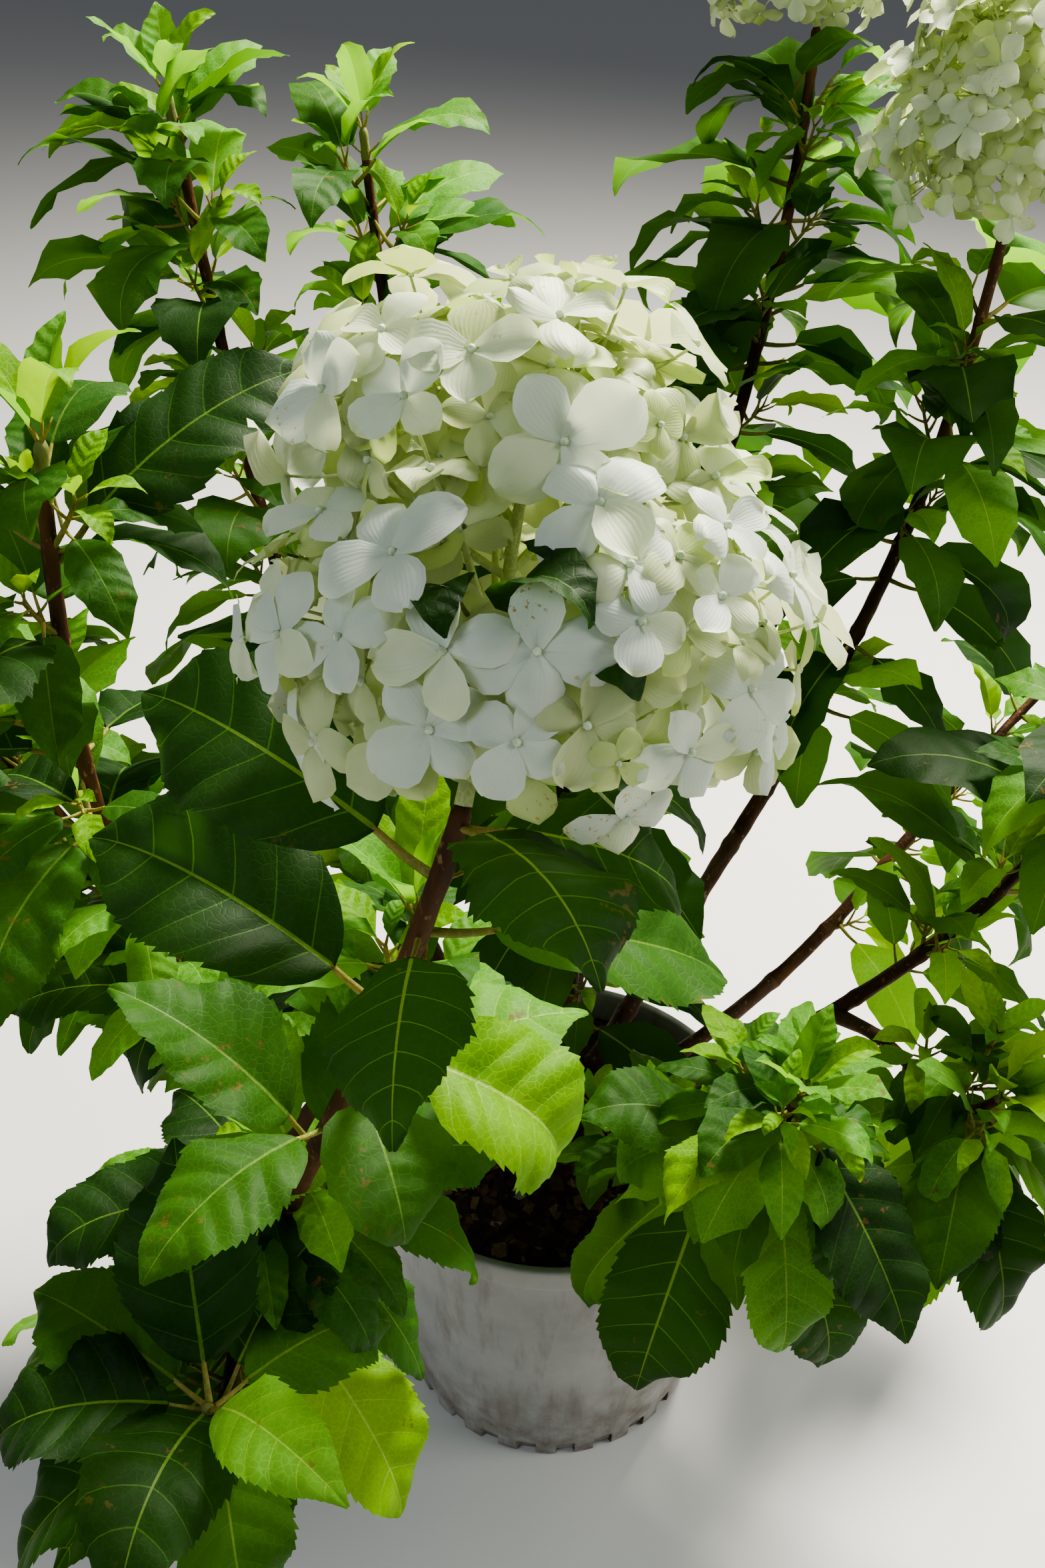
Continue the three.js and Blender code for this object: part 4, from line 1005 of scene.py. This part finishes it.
leaf_skins = [
    leaf_skin("leaf_deep", (0.004, 0.017, 0.002), (0.009, 0.031, 0.004), (0.09, 0.31, 0.01), 0.6, 0.3, 0.20),
    leaf_skin("leaf_mid", (0.011, 0.042, 0.004), (0.022, 0.074, 0.007), (0.17, 0.45, 0.015), 0.6, 0.3, 0.28),
    leaf_skin("leaf_fresh", (0.048, 0.150, 0.018), (0.094, 0.235, 0.030), (0.32, 0.68, 0.04), 0.58, 0.28),
    leaf_skin("leaf_lime", (0.072, 0.190, 0.006), (0.125, 0.270, 0.010), (0.40, 0.70, 0.012), 0.58, 0.28),
    leaf_skin("midrib_deep", (0.055, 0.125, 0.018), (0.100, 0.175, 0.030), (0.30, 0.50, 0.06)),
    leaf_skin("vein_deep", (0.017, 0.055, 0.009), (0.030, 0.082, 0.013), (0.18, 0.44, 0.03)),
    leaf_skin("vein_light", (0.12, 0.26, 0.03), (0.19, 0.34, 0.045), (0.44, 0.70, 0.05)),
    leaf_skin("midrib_light", (0.17, 0.30, 0.05), (0.25, 0.38, 0.07), (0.48, 0.70, 0.08)),
]
MIDRIB_DEEP, VEIN_DEEP, VEIN_LIGHT, MIDRIB_LIGHT = 4, 5, 6, 7
NEAR_LINE = -112.0
SMALL_BELOW = 42
LARGE_ABOVE = 76
LARGE_ON_FRONT = 64


def kind_of(leaf, name):
    """How finely a blade is made: small ones plainest, and large ones finest where they
    stand forward of the near line, on the eye's side."""
    if leaf["length"] < SMALL_BELOW:
        return "small"
    large = leaf["length"] > (LARGE_ON_FRONT if name == "front" else LARGE_ABOVE)
    return "near" if large and leaf["root"][1] < NEAR_LINE else "plain"


def blades_mesh(leaves, kind):
    """All blades of one kind: points, quads, the skin of each quad, and each point's shares."""
    v, s, quads, what = blade_grid(kind)
    points = blade_points(leaves, v, s, 0.015 if kind == "near" else 0.0)
    faces = quads + len(v) * np.arange(len(leaves))[:, None, None]
    greens = np.array([leaf["green"] for leaf in leaves])[:, None]
    rib = np.where(greens >= FRESH, MIDRIB_LIGHT, MIDRIB_DEEP)
    vein = np.where(greens >= FRESH, VEIN_LIGHT, VEIN_DEEP)
    skins = np.where(what == 1, rib, np.where(what == 2, vein, greens))
    shares = np.tile(np.stack([v, s], 1), (len(leaves), 1))
    return points.reshape(-1, 3), faces.reshape(-1, 4), skins.ravel(), shares


def join_meshes(parts):
    """Meshes of points, faces, marks and shares put together as one."""
    points, faces, marks, shares = zip(*parts)
    start = np.cumsum([0] + [len(part) for part in points])
    faces = [part + first for part, first in zip(faces, start)]
    return [np.concatenate(group) for group in (points, faces, marks, shares)]


stalks = []
for index, (name, route) in enumerate(stems.items()):
    leaves = [leaf for leaf in ruled_leaves(index, route) if in_own_space(leaf, route)]
    leaves += placed_leaves(index, route) + lower_leaves(index, route)
    small, twigs = side_shoots(index, route)
    leaves += [leaf for leaf in small if in_own_space(leaf, route, SHOOT_MARGIN)]
    stalks += twigs
    kinds = {"near": [], "plain": [], "small": []}
    for leaf in leaves:
        stop = leaf["root"] + leaf_axes(leaf)[0] * leaf["length"] * (STALK_SHARE + 0.012)
        stalks.append((leaf["root"], stop, *STALK_RADII * max(50, leaf["length"])))
        kinds[kind_of(leaf, name)].append(leaf)
    blades = [blades_mesh(group, kind) for kind, group in kinds.items() if group]
    points, faces, skins, shares = join_meshes(blades)
    foliage = new_piece("foliage_" + name, points * MM, faces, leaf_skins, skins, shares)
    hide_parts("leaves_" + name)

# The leaf stalks and side twigs: thin, round, a little thicker at the foot, green with a
# brown tinge. Each grows out of its stem or twig and carries a blade.


def ring_round(ways, sides):
    """A ring of unit directions at right angles to each way."""
    hint = np.where(np.abs(ways[:, 2:]) > 0.9, np.array([[1.0, 0, 0]]), UP)
    across = unit(np.cross(hint, ways))
    over = np.cross(ways, across)
    turn = full_turn(sides)[:, None]
    return across[:, None, None] * np.cos(turn) + over[:, None, None] * np.sin(turn)


def stalk_tubes(ends, sides=6, steps=4):
    """Round stalks from `start` to `stop`, each with a slight sag, as points and quads.
    Each entry is (start, stop, first radius, last radius)."""
    start = np.array([end[0] for end in ends])
    stop = np.array([end[1] for end in ends])
    radii = np.array([end[2:4] for end in ends])
    share = np.linspace(0, 1, steps + 1)
    middle = start[:, None] + (stop - start)[:, None] * share[:, None]
    sag = 0.05 * np.linalg.norm(stop - start, axis=1)[:, None] * np.sin(np.pi * share)
    middle = middle - UP * sag[..., None]
    radius = radii[:, :1] + (radii[:, 1:] - radii[:, :1]) * share
    rings = middle[:, :, None] + radius[:, :, None, None] * ring_round(unit(stop - start), sides)
    faces = grid_faces(steps + 1, sides, True) + sides * (steps + 1) * np.arange(len(ends))[:, None, None]
    return rings.reshape(-1, 3), faces.reshape(-1, 4)


stalk_skin = leaf_skin("stalk_skin", (0.18, 0.21, 0.05), (0.34, 0.27, 0.08), (0.45, 0.5, 0.1))
stalk_points, stalk_faces = stalk_tubes(stalks)
stalk_piece = new_piece("leaf_stalks", stalk_points * MM, stalk_faces, [stalk_skin])

# The flower heads: rounded cones of creamy florets. Each floret is four broad sepals, thin
# as paper, round a pale bead. Each head stands on the tip of its own stem, and the front
# one has an open heart low on its face.

HEAD_TOP = np.array([4.0, 0, 48])
HEAD_OPEN_BELOW = -0.78
GOLDEN = math.pi * (3 - math.sqrt(5))
# The open heart: where its middle lies across and up, and half its width and height.
HEART = (1.5, 0.0, 18.0, 20.0)
# Florets placed one by one on the front head: across, up, width and spin.
FRONT_FLORETS = [
    (-33, 1, 37, 28), (3, -23, 36, 2), (10, 29, 36, 38), (-20, -23, 33, 12), (-13, 51, 30, 4),
    (-36, 57, 26, 60), (-52, 43, 31, 16), (-30, 40, 26, 50), (19, 13, 35, 40), (35, 34, 18, 8),
    (29, -16, 25, 70), (26, -2, 25, 24), (50, -10, 25, 48), (52, 8, 25, 14), (-24, -43, 30, 34),
    (-2, -46, 27, 52), (27, -69, 27, 16), (24, -52, 17, 64), (43, -50, 28, 30), (-64, -20, 30, 62),
    (-47, -20, 30, 20),
]
PETAL_CREAM, PETAL_GREEN, PETAL_SHADED, PETAL_TIP, BEAD = 1, 2, 3, 4, 5
NEAR_FLORET = -8.0
SMALL_FLORET = 19
CREAM_ABOVE = 45
BEAD_SIDES = 7


def head_surface(ray):
    """Where a ray from the head's middle leaves its outline, and how a floret faces there.
    The outline is the farther of two ellipsoids, the dome and the skirt."""
    found = []
    for centre, radii in (HEAD_DOME, HEAD_SKIRT):
        d, o = ray / radii, -centre / radii
        b, c = d @ o, o @ o - 1
        found.append((-b + math.sqrt(max(b * b - d @ d * c, 0))) / (d @ d))
    centre, radii = HEAD_DOME if found[0] > found[1] else HEAD_SKIRT
    point = ray * max(found)
    return point, unit((point - centre) / radii / radii)


def front_place(across_mm, up_mm):
    """The place on the head's front that is seen at (across, up)."""
    best = None
    for centre, radii in (HEAD_DOME, HEAD_SKIRT):
        x, z = (across_mm - centre[0]) / radii[0], (up_mm - centre[2]) / radii[2]
        wide = min(math.hypot(x, z), 0.96)
        y = centre[1] - radii[1] * math.sqrt(1 - wide * wide)
        if math.hypot(x, z) > 1.12 or (best and best[0][1] < y):
            continue
        point = np.array([across_mm, y, up_mm], float)
        best = (point, unit((point - centre) / radii / radii))
    return best


def spiral(turns, step, z):
    """A unit ray at height z, turned by the golden angle for each step before it."""
    level = math.sqrt(1 - z * z)
    turn = GOLDEN * step + turns
    return np.array([level * math.cos(turn), level * math.sin(turn), z])


def in_heart(point):
    """Whether a place on the front head lies in its open heart, an ellipse on its face."""
    x, z, wide, high = HEART
    return point[1] < 0 and math.hypot((point[0] - x) / wide, (point[2] - z) / high) < 1


def florets_of(head, index):
    """All florets of a head: the placed ones, then a spiral of others where there is room,
    then a second, deeper spiral in what gaps are left."""
    florets = []
    if head["stem"] == "front":
        for across_mm, up_mm, width, spin in FRONT_FLORETS:
            point, facing = front_place(across_mm, up_mm)
            florets.append(dict(point=point, facing=facing, width=width, spin=spin, rank=0))
    # Rank, tries, closeness, salt of chance, widest floret, and how far out and in it lies.
    outer = (1, head["tries"], head["apart"], 60, head["widest"], 1, head["depth"])
    deeper = (2, 420, 0.24, 160, 31, 0.97, 0.34)
    for rank, tries, apart, salt, widest, level, depth in (outer, deeper):
        for i in range(tries):
            z = 1 - 2 * (i + 0.5) / tries
            if z < HEAD_OPEN_BELOW:
                continue
            point, facing = head_surface(spiral(0.5 * (chance(index, i, salt + 1) - 0.5), i, z))
            point = point * (level - depth * chance(index, i, salt + 2))
            width = widest - 9 * chance(index, i, salt + 3)
            if head["stem"] == "front" and in_heart(point):
                continue
            room = apart * (0.84 if rank == 2 and point[2] > 20 else 1)
            gaps = [np.linalg.norm(near["point"] - point) / (near["width"] + width) for near in florets]
            if min(gaps, default=room) >= room:
                spin = 90 * chance(index, i, salt + 4)
                florets.append(dict(point=point, facing=facing, width=width, spin=spin, rank=rank))
    for i, floret in enumerate(florets):
        lucks = [chance(index, i, 65) - 0.5, chance(index, i, 66) - 0.5, chance(index, i, 67)]
        loose = (1.0, 1.7, 2.6)[floret["rank"]]
        floret["facing"] = unit(floret["facing"] + np.array([0.5, 0.3, 0.3]) * lucks * loose)
    return florets


def sepal_points(place, out, beside, facing, length, width, luck, a, b):
    """Points of many sepals at the same shares: a outwards, b across from -1 to 1. The
    outline is a narrow foot that widens to a broad round end. The sepal rises as a shallow
    dish, turns back at its end, arches across, waves along its edge and is creased along
    its middle."""
    length, width, luck = length[:, None], width[:, None], luck[:, None]
    half = 0.5 * np.sin(np.pi * np.clip(a, 0, 1) ** 1.28) ** 0.6 * (0.80 + 0.2 * a)
    half = width * (half + 0.06 * (1 - a))
    rise = length * ((0.08 + 0.34 * ((luck * 3.1) % 1)) * a - (0.08 + 0.40 * ((luck * 6.7) % 1)) * a**3)
    arch = 0.52 * ((luck * 9.7) % 1) - 0.20
    rise = rise - arch * width * b**2 * (0.3 + 0.7 * a)
    ripple = np.sin(2 * np.pi * (1.6 * a + 4 * luck + 0.2 * np.sign(b)))
    rise = rise + 0.04 * width * ripple * np.abs(b) ** 2.5 * a
    rise = rise - 0.035 * width * np.exp(-((b / 0.2) ** 2)) * (1 - a)
    lean = 0.16 * (((luck * 12.9) % 1) - 0.5) * a * length
    return (
        place[:, None]
        + out[:, None] * (length * a)[..., None]
        + beside[:, None] * (b * half + lean)[..., None]
        + facing[:, None] * rise[..., None]
    )


def sepal_grid(rows, columns):
    """Shares for a sepal's points, closer together near its round end."""
    step = np.linspace(0, 1, rows + 1)
    a = 0.03 + 0.962 * np.sin(np.pi / 2 * step**0.9)
    a, b = np.meshgrid(a, np.linspace(-1, 1, columns + 1), indexing="ij")
    return a.ravel(), b.ravel()


def petal_skin(name, base, edge, shine_through):
    """A thin petal-like sepal: soft clouds between two creams, a few brown spots, faint
    creases along it, and light that comes through from behind."""
    material = plain_material(name, base, 0.5, 0.35)
    tree = material.node_tree
    colour = mixed(tree, blotches(tree, 55, 0.35, 0.7), base, edge)
    spots = both_of(tree, blotches(tree, 31, 0.60, 0.66, 2), blotches(tree, 520, 0.62, 0.66, 2))
    colour = mixed(tree, spots, colour, (0.42, 0.26, 0.13))
    shape = node(tree, "ShaderNodeUVMap", uv_map="shape").outputs["UV"]
    creases = node(
        tree, "ShaderNodeTexWave", Vector=shape, bands_direction="Y", Scale=1.7, Distortion=3.4, Detail=3
    )
    let_light_through(tree, shine_through, 0.32)
    return painted(material, colour, relief(tree, creases.outputs["Fac"], 0.0002, 0.2))


petal_skins = [
    petal_skin("petal_white", (0.57, 0.65, 0.59), (0.67, 0.74, 0.67), (0.76, 0.82, 0.58)),
    petal_skin("petal_cream", (0.60, 0.67, 0.48), (0.70, 0.78, 0.59), (0.82, 0.89, 0.50)),
    petal_skin("petal_green", (0.44, 0.55, 0.22), (0.56, 0.64, 0.32), (0.68, 0.82, 0.26)),
    # A darker, greener cream: painted shade for florets deep in a head.
    petal_skin("petal_shaded", (0.43, 0.50, 0.28), (0.54, 0.61, 0.38), (0.73, 0.80, 0.40)),
    petal_skin("petal_tip", (0.53, 0.61, 0.42), (0.63, 0.69, 0.50), (0.76, 0.82, 0.46)),
    leaf_skin("bead", (0.60, 0.70, 0.52), (0.74, 0.82, 0.66), (0.6, 0.7, 0.5), 0.4),
]


def bead_surface(places, facings, radii):
    """Small round beads: rings of points round each floret's own axis."""
    level = np.radians([-60, -10, 40, 89])[:, None, None]
    ring = np.cos(level) * ring_round(facings, BEAD_SIDES) + facings[:, None, None] * np.sin(level)
    points = places[:, None, None] + ring * radii[:, None, None, None]
    rows = len(level)
    faces = grid_faces(rows, BEAD_SIDES, True) + rows * BEAD_SIDES * np.arange(len(places))[:, None, None]
    return points.reshape(-1, 3), faces.reshape(-1, 4)


def petals_mesh(head, index, florets):
    """The sepals and beads of a head, two wider sepals of each floret behind the two
    narrower ones. Greener skins go to small and young florets and to the odd sepal, and a
    darker, greener skin to deep florets as painted shade."""
    place, facing, width, spin, rank = (
        np.array([floret[key] for floret in florets], float)
        for key in ("point", "facing", "width", "spin", "rank")
    )
    luck = np.array([[chance(index, i, 70, lobe) for lobe in range(4)] for i in range(len(florets))])
    across = unit(np.cross(UP, facing))
    upward = np.cross(facing, across)
    near = (head["stem"] == "front") & (place[:, 1] < NEAR_FLORET)
    # Cream goes to the top of the front head partly as its own tint and partly as painted light, the warm
    # sun through the top; deeper florets and the back heads get it too.
    warm = (place[:, 2] > CREAM_ABOVE) | (rank == 2) | (head["stem"] != "front")
    parts = []
    for chosen, rows, columns in ((near, 6, 6), (~near, 5, 4)):
        a, b = sepal_grid(rows, columns)
        grid = grid_faces(rows + 1, columns + 1)
        for lobe in range(4 if chosen.any() else 0):
            chances = luck[chosen, lobe]
            angle = (np.radians(spin[chosen]) + lobe * np.pi / 2 + 0.3 * (chances - 0.5))[:, None]
            out = across[chosen] * np.cos(angle) + upward[chosen] * np.sin(angle)
            size = width[chosen] * 0.54 * (0.94 if lobe % 2 else 1.06)
            size = size * (0.94 + 0.14 * ((chances * 17.3) % 1))
            broad = size * (0.76 + 0.26 * ((chances * 23.7) % 1))
            level = place[chosen] + facing[chosen] * 0.4 * (lobe % 2)
            beside = np.cross(facing[chosen], out)
            points = sepal_points(level, out, beside, facing[chosen], size, broad, chances, a, b)
            skin = np.where(warm[chosen], np.where(chances < 0.22, PETAL_GREEN, PETAL_CREAM), chances < 0.3)
            # Most deep florets get the darker, greener skin: painted shade between the outer florets.
            skin = np.where((rank[chosen] == 2) & (chances > 0.3), PETAL_SHADED, skin)
            skin = np.where(width[chosen] < SMALL_FLORET, PETAL_GREEN, skin)
            tipped = ((chances * 31.7) % 1 < 0.34) & (skin <= PETAL_CREAM)
            at_tip = np.arange(len(grid)) >= (rows - 2) * columns
            skins = np.where(tipped[:, None] & at_tip, PETAL_TIP, skin[:, None])
            faces = grid + len(a) * np.arange(len(chances))[:, None, None]
            shares = np.tile(np.stack([a, b], 1), (len(chances), 1))
            parts.append((points.reshape(-1, 3), faces.reshape(-1, 4), skins.ravel(), shares))
    beads, bead_faces = bead_surface(place + facing * 0.6, facing, np.where(width > 24, 1.3, 0.9))
    parts.append((beads, bead_faces, np.full(len(bead_faces), BEAD), np.zeros((len(beads), 2))))
    return join_meshes(parts)


for index, head in enumerate(HEADS):
    head["florets"] = florets_of(head, index)
    points, faces, skins, shares = petals_mesh(head, index, head["florets"])
    points = to_world(head, points) * MM
    petals = new_piece("petals_" + head["stem"], points, faces, petal_skins, skins, shares)
    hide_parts("bloom_" + head["stem"])

# The branchlets inside each flower head: pale green threads. Side branches leave the main
# stalk by the golden angle, and each floret's own stalk grows from the nearest one's end.

BRANCH_RADII = (1.5, 1.1)
MAIN_RADII = (3.2, 1.5)
THREAD_RADII = (0.75, 0.45)
branch_skin = leaf_skin("branch_skin", (0.50, 0.58, 0.28), (0.64, 0.70, 0.42), (0.66, 0.72, 0.38))


def branch_ends(count):
    """Where each side branch leaves the main stalk, and its end, a little over half way
    out to the head's outline."""
    ends = []
    for i in range(count):
        end = head_surface(spiral(0, i, 1 - 1.72 * (i + 0.5) / count))[0] * 0.58
        share = min(max((end[2] - HEAD_FOOT[2] - 26) / 128, 0.06), 0.92)
        ends.append((HEAD_FOOT + (HEAD_TOP - HEAD_FOOT) * share, end))
    return ends


for head in HEADS:
    branches = branch_ends(head["branches"])
    ends = np.array([end for _, end in branches])
    threads = [(start, end, *BRANCH_RADII) for start, end in branches]
    threads.append((HEAD_FOOT, HEAD_TOP, *MAIN_RADII))
    for floret in head["florets"]:
        nearest = ends[np.linalg.norm(ends - floret["point"], axis=1).argmin()]
        threads.append((nearest, floret["point"] - floret["facing"] * 0.4, *THREAD_RADII))
    points, faces = stalk_tubes(threads, 6, 5)
    framework = new_piece("branchlets_" + head["stem"], to_world(head, points) * MM, faces, [branch_skin])
